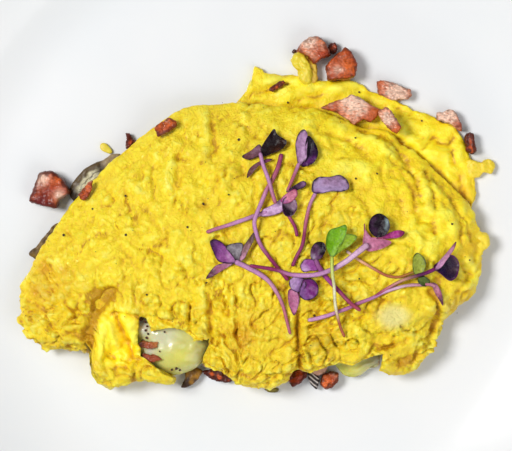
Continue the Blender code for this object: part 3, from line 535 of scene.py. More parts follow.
outer_mid, outer_inset = egg_rings(upper_reach)
inner_reach = np.concatenate([np.linspace(0, 0.76, 8), np.linspace(0.76, 1, 26)[1:]])[:, None]
inner_mid, inner_inset = egg_rings(inner_reach)
outer_normal = facing(outer_mid)
inner_normal = facing(inner_mid)
if outer_normal[60, 200, 2] < 0:
    outer_normal, inner_normal = -outer_normal, -inner_normal


def thin_towards(inset):
    """Thickness of the sheet, which thins towards its free edge."""
    return SHEET * (0.58 + 0.42 * (1 - np.exp(-inset / 5)))


def settle(middle, inset):
    """Lowers the middle surface so that the thinned sheet still lies on what is under it."""
    middle[..., 2] -= (SHEET - thin_towards(inset)) / 2


settle(outer_mid, outer_inset)
settle(inner_mid, inner_inset)
thick = thin_towards(outer_inset)[..., None]
outer = outer_mid + outer_normal * thick / 2
inner = inner_mid - inner_normal * thin_towards(inner_inset)[..., None] / 2
rim_way = outer_mid[-1] - outer_mid[-2]
rim_way /= np.linalg.norm(rim_way, axis=1)[:, None]
rim_turn = np.linspace(0, math.pi, 7)[1:-1, None, None]
rim_facing = outer_normal[-1] * np.cos(rim_turn) + rim_way * np.sin(rim_turn)
rim = outer_mid[-1] + rim_facing * thick[-1] / 2

face_up = np.concatenate([outer_normal, rim_facing, -inner_normal[::-1]])
egg_points = np.concatenate([outer, rim, inner[::-1]])
visible = np.ones(egg_points.shape[:2])
visible[:, UPPER_COLUMNS:][: RINGS] = 0
visible[:, :UPPER_COLUMNS][RINGS + 5 :] = 0.25
soft_lip = 2.4 * (1 - np.sqrt(1 - (1 - np.clip(from_tears(egg_points[..., 0], egg_points[..., 1]) / 2.4, 0, 1)) ** 2))
soft_lip *= smooth_step(egg_points[..., 2], 15, 18) * (face_up[..., 2] > 0.3)
visible *= 0.45 + 0.55 * np.abs(face_up[..., 2])
egg_points = egg_points + face_up * (visible * (sum(egg_relief(egg_points)) - 0.8 * soft_lip))[..., None]
egg_points[..., 2] = np.maximum(egg_points[..., 2], WELL_TOP + 0.25)

egg_finish, tree, shader, where = new_finish(
    "set_egg", 0.38, Subsurface_Weight=0.1, Subsurface_Scale=0.0015, Coat_Roughness=0.25,
)
points, faces = skin_over(egg_points)
egg = add_piece("folded_egg", points, faces, egg_finish, "egg", ["omelette"])


def tear_open(piece, name, outline, low, high, seed):
    """Cuts a ragged-walled prism out of the piece: its walls stray from the outline by grain."""
    line = evenly(np.array(outline + outline[:1], float), 160, closed=True)
    levels = np.linspace(low, high, 24)
    walls = np.stack([np.column_stack([line, np.full(len(line), z)]) for z in levels])
    walls[..., 0] += 0.7 * grain(walls, 3.0, seed)
    walls[..., 1] += 0.7 * grain(walls, 3.0, seed + 1)
    caps = [np.repeat(end.mean(axis=0)[None], len(line), axis=0)[None] for end in (walls[0], walls[-1])]
    points, faces = skin_over(np.concatenate([caps[0], walls, caps[1]]))
    mesh = bpy.data.meshes.new(name)
    mesh.from_pydata(points * MM, [], faces)
    cutter = bpy.data.objects.new(name, mesh)
    scene.collection.objects.link(cutter)
    tear = piece.modifiers.new(name, "BOOLEAN")
    tear.operation = "DIFFERENCE"
    tear.solver = "MANIFOLD"
    tear.object = cutter
    return cutter


cutters = [
    tear_open(egg, "tear_over_cheese", UPPER_TEAR, 14.2, 50, 31),
    tear_open(egg, "tear_at_notch", NOTCH_TEAR, 6, 50, 41),
    tear_open(egg, "tear_in_front", FRONT_TEAR, 6, 50, 51),
    tear_open(egg, "tear_under_tongue", TONGUE_GAP, 6, 19, 61),
]
torn = bpy.data.meshes.new_from_object(egg.evaluated_get(bpy.context.evaluated_depsgraph_get()))
egg.modifiers.clear()
egg.data = torn
for cutter in cutters:
    bpy.data.objects.remove(cutter)


def read_points(mesh):
    """A mesh's points in millimetres."""
    flat = np.empty(len(mesh.vertices) * 3)
    mesh.vertices.foreach_get("co", flat)
    return flat.reshape(-1, 3) / MM


def keep(mesh, name, values):
    """Stores one value a point on the mesh, for its material to read."""
    mesh.attributes.new(name, "FLOAT", "POINT").data.foreach_set("value", np.asarray(values, np.float32))


spots = read_points(torn)
broad_relief, fine_relief = egg_relief(spots)
# The relief's height is kept for the material's painted shade in the creases and in the gap under the upper leaf's rim,
# and for its painted highlight on the ridges.
keep(torn, "height", np.clip(0.5 + 0.10 * broad_relief + 0.30 * fine_relief, 0, 1))
keep(torn, "silky", silkiness(spots[:, 0], spots[:, 1]))
# Where the pan has browned the egg a little: x, y, radius, amount.
WARM_PATCHES = [
    (-82, -24, 10, 0.35), (-88, -26, 3, 0.5), (34, 14, 8, 0.25), (-84, -17, 3, 0.5), (-75.6, -18.2, 2.4, 0.5),
    (-6, -42, 7, 0.45), (26, -44, 6, 0.25), (90, -10, 8, 0.4), (82, -30, 8, 0.4), (86, 12, 6, 0.25), (-20.8, 8, 2.4, 0.6), (-20.8, 27.8, 2.0, 0.4),
]
warmth = 0.16 * grain(spots, 9, 71) + 0.18 * grain(spots, 3.2, 72) + 0.12 * smooth_step(-spots[:, 1], 14, 40)
for wx, wy, radius, amount in WARM_PATCHES:
    warmth += amount * np.exp(-((spots[:, 0] - wx) ** 2 + (spots[:, 1] - wy) ** 2) / radius**2)
keep(torn, "warm", np.clip(warmth, 0, 1))
keep(torn, "pale", 0.9 * thinness(spots[:, 0], spots[:, 1]))

# Fine moist grain, shared by the egg, the cheese, the ham and the mushrooms.
moist = bpy.data.node_groups.new("moist_grain", "ShaderNodeTree")
for label, kind, direction in (
    ("Place", "NodeSocketVector", "INPUT"),
    ("Size", "NodeSocketFloat", "INPUT"),
    ("Mask", "NodeSocketFloat", "OUTPUT"),
    ("Fine", "NodeSocketFloat", "OUTPUT"),
):
    moist.interface.new_socket(name=label, in_out=direction, socket_type=kind)
moist_in = moist.nodes.new("NodeGroupInput")
moist_out = moist.nodes.new("NodeGroupOutput")
inverse = add_node(moist, "ShaderNodeMath", {"operation": "DIVIDE"}, i0=1.0, i1=moist_in.outputs["Size"])
lumps = add_node(
    moist, "ShaderNodeTexVoronoi", {"feature": "SMOOTH_F1"},
    Vector=moist_in.outputs["Place"], Scale=inverse.outputs[0], Smoothness=0.6,
)
flecks = add_node(
    moist, "ShaderNodeTexNoise", Vector=moist_in.outputs["Place"], Scale=inverse.outputs[0], Detail=4.0, Roughness=0.6,
)
moist.links.new(lumps.outputs["Distance"], moist_out.inputs["Mask"])
moist.links.new(flecks.outputs["Fac"], moist_out.inputs["Fine"])


def add_moist(tree, where, size):
    """The moist grain group, with lumps of a size in metres."""
    made = tree.nodes.new("ShaderNodeGroup")
    made.node_tree = moist
    made.inputs["Size"].default_value = size
    tree.links.new(where, made.inputs["Place"])
    return made


height = add_node(tree, "ShaderNodeAttribute", {"attribute_name": "height"}).outputs["Fac"]
silky = add_node(tree, "ShaderNodeAttribute", {"attribute_name": "silky"}).outputs["Fac"]
warm = add_node(tree, "ShaderNodeAttribute", {"attribute_name": "warm"}).outputs["Fac"]
curd = add_moist(tree, where, 0.0026)
crumb = add_moist(tree, where, 0.0009)


def standing(each, width):
    """1 on the lumps of a grain and 0 in the narrow creases between them, where its value crosses the middle."""
    off = add_node(tree, "ShaderNodeMath", {"operation": "SUBTRACT"}, i0=each.outputs["Fine"], i1=0.5)
    size = add_node(tree, "ShaderNodeMath", {"operation": "ABSOLUTE"}, i0=off.outputs[0])
    return add_node(tree, "ShaderNodeMapRange", {"interpolation_type": "SMOOTHSTEP"}, i0=size.outputs[0], i2=width).outputs[0]


both = add_node(tree, "ShaderNodeMath", {"operation": "MULTIPLY_ADD"}, i0=standing(crumb, 0.09), i1=0.3, i2=standing(curd, 0.12))
calm = add_node(tree, "ShaderNodeMapRange", i0=silky, i3=1.0, i4=0.3)
pebbles = add_node(tree, "ShaderNodeMath", {"operation": "MULTIPLY"}, i0=both.outputs[0], i1=calm.outputs[0])
plain = add_node(tree, "ShaderNodeMapRange", i0=calm.outputs[0], i1=0.3, i2=1.0, i3=0.8, i4=0.0)
grains = add_node(tree, "ShaderNodeMath", {"operation": "ADD"}, i0=pebbles.outputs[0], i1=plain.outputs[0])
# Painted light: the yolk colour turns amber where the relief and the curd creases lie low, as painted shade, and light
# yellow on the ridges, as painted highlight.
shade_from_height = add_node(tree, "ShaderNodeMath", {"operation": "MULTIPLY_ADD"}, i0=height, i1=1.0, i2=-0.12)
painted_light_level = add_node(tree, "ShaderNodeMath", {"operation": "MULTIPLY_ADD"}, i0=grains.outputs[0], i1=0.17, i2=shade_from_height.outputs[0])
yolk_painted_light = add_ramp(tree, painted_light_level.outputs[0], [
    (0.06, tint(200, 150, 6)), (0.32, tint(242, 206, 20)), (0.58, tint(253, 228, 34)), (0.9, tint(255, 243, 92)),
])
pale = add_node(tree, "ShaderNodeAttribute", {"attribute_name": "pale"}).outputs["Fac"]
bright_share = add_node(tree, "ShaderNodeMath", {"operation": "MULTIPLY"}, i0=silky, i1=0.6)
bright = add_mix(tree, bright_share.outputs[0], yolk_painted_light, add_mix(tree, 1.0, yolk_painted_light, (1.16, 1.16, 0.5, 1), "MULTIPLY"))
orange = add_mix(tree, warm, bright, tint(222, 160, 14))
tree.links.new(add_mix(tree, pale, orange, tint(238, 226, 142)), shader.inputs["Base Color"])
wet = add_node(tree, "ShaderNodeMapRange", i0=curd.outputs["Mask"], i1=0.15, i2=0.4, i3=0.16, i4=0.0)
tree.links.new(wet.outputs[0], shader.inputs["Coat Weight"])
bump = add_node(tree, "ShaderNodeBump", Strength=1.0, Distance=0.0002, Height=pebbles.outputs[0])
tree.links.new(bump.outputs["Normal"], shader.inputs["Normal"])
tree.links.new(
    add_node(tree, "ShaderNodeMapRange", i0=crumb.outputs["Mask"], i3=0.34, i4=0.46).outputs[0],
    shader.inputs["Roughness"],
)

# ---------------------------------------------------------------- melted cheese
# Mild cheese that has melted in the pocket between the leaves: one soft body that bulges up through the tear
# over the filling and hangs out as a tongue in front. It is pale, slightly see-through and shiny.

CHEESE_EDGE = [
    (62, -30), (66, -12), (56, 8), (32, 22), (4, 27), (-24, 18), (-46, 0), (-60, -22), (-54, -34),
    (-51, -37), (-50.5, -44), (-48.6, -50), (-44.4, -54.6), (-38.4, -58.2), (-32.4, -59.8), (-28, -59),
    (-24, -57), (-20.6, -54), (-17, -49), (2, -47), (22, -48), (31, -50), (34, -58.6), (37, -60.8), (41.6, -60.6),
    (45.4, -57.8), (49.6, -56), (51, -50),
]
CHEESE_MIDDLE = (0, -18)


def add_tints(mesh, colours):
    """Stores one colour a point on the mesh, for its material to read."""
    made = mesh.attributes.new("tint", "FLOAT_COLOR", "POINT")
    made.data.foreach_set("color", np.column_stack([colours[:, :3], np.ones(len(colours))]).astype(np.float32).ravel())


def blend(first, second, share):
    """Colours between two colours, or two arrays of them, by an array of shares."""
    return np.asarray(first)[..., :3] * (1 - share[..., None]) + np.asarray(second)[..., :3] * share[..., None]


def bump_at(x, y, centre, radius):
    """A round bell over a centre: e^-(distance/radius)^2."""
    return np.exp(-((x - centre[0]) ** 2 + (y - centre[1]) ** 2) / radius**2)


def painted_finish(name, roughness, size, mottle, bump_depth, **sockets):
    """A material coloured by its piece's own tints, with moist grain that varies their depth, gloss and relief."""
    made, tree, shader, where = new_finish(name, roughness, **sockets)
    own = add_node(tree, "ShaderNodeAttribute", {"attribute_name": "tint"}).outputs["Color"]
    wet = add_moist(tree, where, size)
    darker = add_mix(tree, 1.0, own, (1 - mottle, 1 - mottle, 1 - mottle, 1), "MULTIPLY")
    lighter = add_mix(tree, 1.0, own, (1 + mottle, 1 + mottle, 1 + mottle, 1), "MULTIPLY")
    share = add_node(tree, "ShaderNodeMapRange", i0=wet.outputs["Fine"], i1=0.3, i2=0.7)
    tree.links.new(add_mix(tree, share.outputs[0], darker, lighter), shader.inputs["Base Color"])
    gloss = add_node(tree, "ShaderNodeMapRange", i0=wet.outputs["Mask"], i3=roughness * 0.7, i4=roughness * 1.5)
    tree.links.new(gloss.outputs[0], shader.inputs["Roughness"])
    relief = add_node(tree, "ShaderNodeBump", Strength=0.8, Distance=bump_depth, Height=wet.outputs["Fine"])
    tree.links.new(relief.outputs["Normal"], shader.inputs["Normal"])
    return made


def pocket_roof(x, y):
    """Lower face of the upper leaf over a place in plan, found by running the folded sheet's formula the other
    way: the bearing from the middle of the fold gives the share of the edge, and the distance gives the reach."""
    step = upper_rim - np.array(FOLD_MIDDLE)
    bearing = np.arctan2(step[:, 1], step[:, 0])
    order = np.argsort(bearing)
    away = np.hypot(x - FOLD_MIDDLE[0], y - FOLD_MIDDLE[1])
    span = np.interp(np.arctan2(y - FOLD_MIDDLE[1], x - FOLD_MIDDLE[0]), bearing[order], np.hypot(*step[order].T))
    back = np.maximum(y - np.interp(x, *FOLD_ENDS), 0)
    level = upper_level(x, y, np.maximum(span - away, 0), back)
    half = (level - LOWER_MID) / 2
    turned = 1 - np.minimum(back / (half * 1.2), 1)
    return LOWER_MID + half * (1 + np.sqrt(1 - turned**2)) - SHEET / 2


cheese_edge = curve_through(CHEESE_EDGE, 260, closed=True)
cheese_spread = np.array(CHEESE_MIDDLE) + np.concatenate([np.linspace(0, 0.6, 14), np.linspace(0.6, 1, 42)[1:]])[:, None, None] * (
    cheese_edge - np.array(CHEESE_MIDDLE))
cx, cy = cheese_spread[..., 0], cheese_spread[..., 1]
edge_share = np.linalg.norm(cheese_spread - CHEESE_MIDDLE, axis=-1) / np.linalg.norm(cheese_edge - CHEESE_MIDDLE, axis=-1)
to_edge = beside(cx, cy, [tuple(p) for p in cheese_edge[::4]] + [tuple(cheese_edge[0])])[0]
rounding = np.sqrt(1 - (1 - np.clip(to_edge / (1.9 + 2.3 * smooth_step(-cy, 54, 58)), 0, 1)) ** 2)
sag = np.clip((-51 - cy) / 8, 0, 1) * (cx > 0)
cheese_floor = WELL_TOP + 0.7 + 4.5 * (1 - sag)
open_above = inside(cx, cy, UPPER_TEAR) | (cy < -54) | (inside(cx, cy, FRONT_TEAR) & (cx > 0))
bulge = 15.5 + 8.0 * smooth_step(np.hypot((cx + 32) / 17, (cy + 46) / 15), 1.5, 0.35)
bulge += 2.4 * bump_at(cx, cy, (-46, -41), 4)
bulge -= 0.8 * bump_at(cx, cy, (-43, -48), 3) + 0.7 * bump_at(cx, cy, (-37, -52), 2.2)
roof = np.minimum(pocket_roof(cx, cy) - 0.5, 24)
cheese_top = np.where(open_above, bulge, np.minimum(roof, np.where(cy < -38, bulge, 24)))
cheese_top = np.maximum(cheese_top, cheese_floor + 1.0)
cheese_top += (0.9 * grain(np.stack([cx, cy, 0 * cx], axis=-1), 6, 81) + 0.35 * grain(np.stack([cx, cy, 0 * cx], axis=-1), 2.4, 82)) * open_above
middle_level = cheese_floor + 0.42 * (cheese_top - cheese_floor)
upper_side = np.stack([cx, cy, middle_level + rounding * (cheese_top - middle_level)], axis=-1)
lower_side = np.stack([cx, cy, middle_level - rounding * (middle_level - cheese_floor)], axis=-1)
cheese_points, cheese_faces = skin_over(np.concatenate([upper_side, lower_side[-2::-4]]))
cheese_finish = painted_finish("soft_cheese", 0.22, 0.004, 0.05, 0.0004, Subsurface_Weight=0.25, Subsurface_Scale=0.004, Coat_Weight=0.3)
cheese = add_piece("cheese_melt", cheese_points, cheese_faces, cheese_finish, "cheese", ["melted_cheese"])
x, y, z = cheese_points.T
cheese_tint = blend(tint(200, 197, 116), tint(212, 208, 92), np.clip(bump_at(x, y, (-31, -52), 5) + bump_at(x, y, (36, -59), 6), 0, 1))
cheese_tint = blend(cheese_tint, tint(196, 190, 176), np.clip(1.6 * bump_at(x, y, (-45.6, -40.4), 3.2) + 0.9 * bump_at(x, y, (-42.6, -50), 2.6), 0, 1))
cheese_tint = blend(cheese_tint, tint(202, 202, 166), np.clip(1.3 * bump_at(x, y, (-37, -43.5), 5.5) + bump_at(x, y, (50, -54), 4), 0, 1))
cheese_tint = blend(cheese_tint, tint(176, 168, 92), np.clip(bump_at(x, y, (-20, -50), 4.5), 0, 1))
add_tints(cheese.data, cheese_tint)

# ---------------------------------------------------------------- loose egg
# A soft curd that has come off behind the lower leaf with a strip of browned skin, the little tongue and the bead
# on the right-hand edges, and flakes: the same set egg as the sheet.


def morsel(outline, low, high, square, rough, seed, size=2.6, lean=(0, 0), crisp=0.0):
    """Rings of a rounded lump over a plan outline: at each latitude its width is the outline's times the cosine
    to a power, its height is the sine to the same power, and grain pushes its face in and out. lean slopes its
    top by so many millimetres a millimetre, and crisp draws its corners from round to sharp."""
    count = 84
    rim = curve_through(outline, count, closed=True)
    straight = evenly(np.array(outline + outline[:1], float), count, closed=True)
    rim = rim + crisp * (straight - rim)
    middle = rim.mean(axis=0)
    wide = np.linalg.norm(rim - middle, axis=1).mean()
    turn = np.linspace(-math.pi / 2, math.pi / 2, 241)
    arc = np.column_stack([np.cos(turn) ** square * wide, np.sign(np.sin(turn)) * np.abs(np.sin(turn)) ** square * (high - low) / 2])
    arc[[0, -1], 0] = 0
    arc = evenly(arc, 40)
    plan = middle + (arc[:, :1, None] / wide) * (rim - middle)
    level = np.repeat((low + high) / 2 + arc[:, 1:], count, axis=1)
    rings = np.concatenate([plan, level[..., None]], axis=-1)
    up = (rings[..., 2] - low) / (high - low)
    rings[..., 2] += up * ((rings[..., 0] - middle[0]) * lean[0] + (rings[..., 1] - middle[1]) * lean[1])
    out = facing(rings)
    if np.sum(out * (rings - np.array([*middle, (low + high) / 2]))) < 0:
        out = -out
    push = rough * (grain(rings, size, seed) + 0.5 * grain(rings, size * 0.42, seed + 1))
    rings = rings + out * push[..., None]
    return rings


CURD_LUMPS = [
    ([(14.4, 67), (15.4, 69.4), (18, 69.8), (20.4, 68.2), (21.4, 65.4), (22.8, 63), (23, 60), (21.8, 57.2), (19, 57.2),
      (17.6, 59.6), (17.2, 62.2), (15, 64)], 9.3, 15.6, (224, 202, 50)),
    ([(20.6, 67), (23.2, 66.6), (24.8, 63.4), (24.6, 59.4), (23, 57.2), (20.6, 58), (20, 62.6)], 9.3, 14.2,
     (214, 176, 56)),
]
curd_finish = painted_finish("loose_egg", 0.4, 0.0022, 0.12, 0.0004, Subsurface_Weight=0.1, Subsurface_Scale=0.002)


def add_lumps(name, lumps, finish, slot, stands_for=(), rough=0.7, seed=91):
    """One piece of several overlapping lumps: outline, lowest and highest level, colour."""
    points, faces, colours = [], [], []
    for number, (outline, low, high, shade) in enumerate(lumps):
        own_points, own_faces = skin_over(morsel(outline, low, high, 0.6, rough, seed + 3 * number, 3.4))
        shift = sum(map(len, points))
        faces += [[shift + corner for corner in face] for face in own_faces]
        points.append(own_points)
        colours.append(np.tile(tint(*shade), (len(own_points), 1)))
    made = add_piece(name, np.vstack(points), faces, finish, slot, stands_for)
    add_tints(made.data, np.vstack(colours))
    return made


add_lumps("loose_curd", CURD_LUMPS, curd_finish, "egg", ["egg_curd"])
add_lumps("edge_tongue", [
    ([(84.6, 26), (88, 26.6), (90.8, 25.4), (93.2, 27), (95.6, 25.8), (96.2, 23.2), (94.6, 20.8), (91.8, 21.4),
      (89.6, 19.6), (85.4, 19.8)], 9.4, 13.0, (238, 208, 48)),
], curd_finish, "egg", rough=0.6, seed=111)
add_lumps("edge_curd_bead", [
    ([(84, -2.6), (88.6, -2), (92.6, -3.4), (93.8, -7), (91.4, -10), (86, -10)], 12.2, 18.0, (240, 212, 52)),
], curd_finish, "egg", rough=0.6, seed=121)
add_lumps("egg_flakes", [
    ([(-62.8, 32.6), (-60.8, 33.2), (-58.2, 30.4), (-59, 29), (-62.4, 30.4)], 9.3, 10.8, (228, 206, 60)),
], curd_finish, "egg", rough=0.15, seed=131)

# ---------------------------------------------------------------- ham
# Diced cooked ham, fried until its corners brown: cut blocks of coarse pink fibre with seams of pale fat and
# glossy seared faces. Each lies where it fell, on the plate, on the egg or in the tear.

# For each piece: plan outline, how far it is seared, how fat it is, and where its pale fat lies (or None).
HAM = {
    "ham_cube_left": ([(-91.2, 9.8), (-85, 7.8), (-80.2, 7), (-79, 10.4), (-74.8, 13.2), (-77, 18), (-82, 21.8), (-87.2, 21.2), (-89, 15.6)], 0.75, (-87, 19, 3)),
    "ham_cube_back_left": ([(16.2, 70.4), (18.8, 73.8), (22, 75.8), (25, 76), (27.6, 73.8), (30, 68.6), (26.6, 67.2), (23, 64.8), (20.8, 68.2)], 0.3, (20.8, 74.2, 3.4)),
    "ham_cube_back_right": ([(28.2, 64.2), (31.6, 68), (34.4, 70.2), (36, 71.6), (38.2, 69.6), (40.6, 65), (39.8, 60), (36.6, 58.8), (32, 58.6), (29, 58.2)], 0.4, (32.6, 62.4, 1.8)),
    "ham_crumb_back": ([(29.2, 71.8), (30, 73.6), (32.2, 73.6), (32.8, 71.2), (31.6, 69.4), (29.8, 69.8)], 0.8, None),
    "ham_strip_back": ([(48.8, 58), (52.4, 58.4), (56.4, 57), (62, 54.8), (62.8, 52.4), (60.6, 50.8), (54.4, 50.6), (49.4, 53)], 0.1, (56.6, 53.4, 4.4)),
    "ham_chunk_right": ([(73.2, 42.6), (73.2, 45.4), (76.4, 46), (78.4, 47), (80.8, 45), (82.6, 40.6), (83, 38), (80.6, 39.4), (77.6, 41.4)], 0.1, (76.4, 44.6, 4.2)),
    "ham_chunk_far_right": ([(84.4, 36), (86, 37.6), (87.4, 37), (88.2, 33), (88.8, 30), (87, 28.8), (84.8, 30), (84.4, 33)], 0.85, None),
    "ham_slab_on_leaf": ([(26, 47.2), (30.4, 49.4), (34.8, 50.8), (38.4, 52.6), (42, 50.8), (46, 48.4), (50, 46.4), (48, 42.8), (45.8, 41.6), (43, 42.6), (39.2, 40.4), (36.4, 43), (32, 45.6)], 0.05, (39.4, 49.6, 4.6)),
    "ham_chunk_on_leaf": ([(48.9, 45.8), (51.2, 47.1), (53.2, 46.8), (56, 42.6), (57.7, 39.2), (56.4, 36.8), (54.4, 37.6), (50.2, 41.8)], 0.15, (52.4, 43, 3.2)),
    "ham_sliver_on_leaf": ([(5.2, 54.4), (7.4, 56.8), (10.8, 58.2), (11.8, 57.4), (9.4, 55.2), (6.6, 53.8)], 0.8, None),
    "ham_chip_on_top": ([(-40.6, 39), (-37.4, 41.4), (-34.4, 42.8), (-32, 41.6), (-31.6, 39.2), (-35, 37.6), (-39, 35.2)], 0.45, None),
    "ham_flake_left": ([(-52.8, 37.2), (-51.2, 37.2), (-49.8, 35), (-48.2, 33.8), (-50.4, 32.2), (-52.4, 31), (-52.8, 33.6), (-51.8, 34.8)], 0.8, None),
    "ham_sliver_left": ([(-70.6, 12.4), (-68.8, 14.6), (-67, 17), (-65.4, 17.8), (-65.2, 15), (-66.8, 11.8), (-68.8, 9.8), (-70.2, 10.6)], 0.35, None),
    "ham_cube_front": ([(12.8, -61.4), (14.8, -58.8), (18.2, -57.8), (20.4, -59), (20.2, -61), (17.6, -63.6), (14.6, -65), (13.6, -63.4)], 0.7, None),
    "ham_cube_front_right": ([(26, -63.4), (27.2, -60.2), (30, -58.6), (33.2, -59.8), (33, -62.4), (31, -65.2), (28, -65.8), (26.4, -65)], 0.6, (31.6, -59.6, 1.2)),
    "ham_piece_front_left": ([(-21.6, -58.8), (-17, -57.8), (-13.4, -58.6), (-9, -62), (-10.4, -63.4), (-14.6, -63), (-18.6, -61.6)], 1.1, None),
    "ham_strip_in_tear": ([(-46.9, -47), (-44.8, -46.2), (-39, -46.6), (-39.4, -48.4), (-43.2, -48.9), (-46.2, -48.6)], 0.25, None),
    "ham_strip_in_tear_low": ([(-45.2, -51.2), (-43, -51.6), (-39.6, -51.8), (-37.6, -53.4), (-41.6, -54.6), (-44.6, -53.6)], 0.5, None),
}
HAM_FLESH, HAM_FAT = tint(202, 96, 34), tint(232, 192, 168)
HAM_SEAR, HAM_RED = tint(70, 18, 6), tint(158, 56, 24)
ham_finish = painted_finish(
    "diced_ham", 0.36, 0.0016, 0.2, 0.0007, Specular_IOR_Level=0.25, Coat_Weight=0.14, Coat_Roughness=0.05,
)
for number, (node_name, (outline, seared, fat)) in enumerate(HAM.items()):
    lowest, highest = (corner.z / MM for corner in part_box(node_name))
    if "in_tear" in node_name:
        near = np.hypot(*(cheese_points[:, :2] - np.array(outline).mean(axis=0)).T) < 3.5
        lowest, highest = np.array([-0.7, 1.3]) + cheese_points[near, 2].max()
    seed = 200 + 7 * number
    rings = morsel(outline, lowest, highest, 0.28, 0.46, seed, 2.0, (0.05, -0.04), crisp=0.8)
    points, faces = skin_over(rings)
    made = add_piece(node_name + "_cut", points, faces, ham_finish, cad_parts[node_name].material_slots[0].name, [node_name])
    x, y, z = points.T
    middle = np.array(outline).mean(axis=0)
    outline_line = [tuple(spot) for spot in outline + outline[:1]]
    to_edge = beside(x, y, outline_line)[0]
    fibre = 0.5 + grain(points * (1, 2.2, 2.2), 1.5, seed + 2)
    patches = 0.5 + 0.8 * grain(points, 5.5, seed + 3)
    colour = blend(HAM_FLESH, HAM_RED, np.clip(0.9 * patches + 0.5 * seared - 0.15, 0, 1))
    pale_share = 0.3 * smooth_step(0.5 + grain(points, 4.2, seed + 5), 0.6, 0.95) * (1 - seared)
    if fat:
        pale_share = pale_share + 0.4 * fat[2] * bump_at(x, y, fat[:2], fat[2])
    colour = blend(colour, HAM_FAT, np.clip(pale_share * (0.5 + fibre), 0, 1))
    colour = colour * (1 + 0.5 * grain(points * (1, 2.2, 2.2), 1.1, seed + 7)[:, None])
    # Darker along the outline and towards the bottom of each piece, more so where it is seared.
    dark_edge_and_foot = smooth_step(1.3 - to_edge + 1.7 * grain(points, 2.0, seed + 4) + 1.6 * seared, 0.8, 1.8)
    dark_edge_and_foot = np.maximum(dark_edge_and_foot, smooth_step(lowest + 1.4 - z, -0.6, 1.2))
    colour = blend(colour, HAM_SEAR, np.clip(dark_edge_and_foot * (0.4 + 0.6 * seared), 0, 1))
    if node_name == "ham_cube_left":
        colour = blend(colour, tint(96, 14, 22), 0.9 * bump_at(x, y, (-85.6, 10.4), 4.2))
        colour = blend(colour, HAM_FAT, 0.8 * bump_at(x, y, (-79, 12.4), 2.0))
    if "in_tear" in node_name:
        colour = blend(tint(200, 128, 70), tint(150, 70, 40), np.clip(0.4 + patches - 0.5 + seared, 0, 1))
        colour = blend(colour, HAM_SEAR, smooth_step(x, -43.6, -46))
    crevice = smooth_step(np.abs(grain(points, 3.4, seed + 6)), 0.06, 0.0)
    add_tints(made.data, blend(colour, HAM_SEAR, 0.3 * crevice))

# ---------------------------------------------------------------- mushrooms
# Slices of brown mushroom, fried soft: a curved cap slice with its skin outside and its gills inside, a slice of
# stalk, and pieces of cap in front, one with its dark gills on edge.

MUSHROOMS = {
    "mushroom_cap_slice": [
        (-73.8, 10), (-75.4, 13), (-74, 17.4), (-71, 21), (-66.4, 24.6), (-61.6, 26.4), (-58.4, 28.8), (-55.4, 29),
        (-54.6, 27.4), (-58, 24.8), (-62.6, 20), (-67.4, 15), (-71.4, 10.2),
    ],
    "mushroom_stem_slice": [(-91.4, -11.4), (-88.4, -8), (-83.4, -2), (-80.6, 0.8), (-76, 0), (-80, -5), (-86.4, -13.4), (-88.4, -13.8)],
    "mushroom_front_slice": [(-30.2, -65.4), (-26.4, -64.4), (-23, -61.6), (-21.8, -58.6), (-25, -57.2), (-28.2, -58), (-28.6, -61.6)],
    "mushroom_front_gills": [(20.8, -60.4), (22, -58.8), (25, -60.6), (25.6, -62.8), (24.6, -65.8), (23, -65.2), (21.4, -62.8)],
    "mushroom_front_chip": [(3.4, -66.2), (5.6, -67.4), (8.6, -67), (9, -65.8), (6, -65.4)],
}
mushroom_finish = painted_finish(
    "fried_mushroom", 0.36, 0.0012, 0.3, 0.0006, Specular_IOR_Level=0.3, Coat_Weight=0.1, Coat_Roughness=0.2,
)
SKIN, FLESH, GILL = tint(88, 68, 36), tint(176, 160, 128), tint(40, 28, 18)
for number, (node_name, outline) in enumerate(MUSHROOMS.items()):
    lowest, highest = (corner.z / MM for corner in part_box(node_name))
    seed = 400 + 7 * number
    points, faces = skin_over(morsel(outline, lowest, highest, 0.5, 0.3, seed, 3.0))
    made = add_piece(node_name + "_fried", points, faces, mushroom_finish, "mushroom", [node_name])
    x, y, z = points.T
    patch = grain(points, 2.2, seed + 1)
    if node_name == "mushroom_cap_slice":
        skin_line = [(-72.8, 9.6), (-75.4, 13), (-74, 17.4), (-71, 21), (-66.4, 24.6), (-61.6, 26.6)]
        off_skin = beside(x, y, skin_line)[0]
        colour = blend(SKIN, tint(206, 198, 164), smooth_step(off_skin + 1.1 * patch, 1.8, 3.0))
        gills = smooth_step(np.sin(3.6 * off_skin + 2.2 * patch) + 0.5 * grain(points, 1.1, seed + 2), 0.35, 0.9)
        colour = blend(colour, GILL, gills * smooth_step(off_skin, 1.8, 3.0) * 0.8)
        colour = blend(colour, tint(150, 128, 96), smooth_step(x, -63.5, -61))
        colour = blend(colour, tint(48, 32, 14), np.clip(bump_at(x, y, (-73.6, 11.6), 3.0) + bump_at(x, y, (-62.4, 22.6), 2.2), 0, 1))
    elif node_name == "mushroom_front_gills":
        stripes = np.sin(((x - 20) * 0.62 + (y + 60) * 0.78) * 4.4 + 0.8 * patch)
        colour = blend(tint(38, 28, 28), tint(190, 180, 176), smooth_step(stripes, 0.1, 0.9))
    elif node_name == "mushroom_front_slice":
        colour = blend(tint(150, 104, 22), tint(64, 38, 16), np.clip(0.4 + patch + bump_at(x, y, (-29.4, -65), 2), 0, 1))
    elif node_name == "mushroom_front_chip":
        colour = blend(tint(130, 116, 40), tint(96, 84, 34), np.clip(0.5 + patch, 0, 1))
    else:
        colour = blend(tint(124, 96, 42), tint(86, 62, 28), np.clip(0.5 + patch, 0, 1))
    add_tints(made.data, colour)

# ---------------------------------------------------------------- radish sprouts
# Young radish sprouts with purple stems and small heart-shaped seed leaves, strewn over the upper leaf; two of
# them are green. Stems are limp, round and taper a little; the leaves are thin, cupped and partly crumpled.

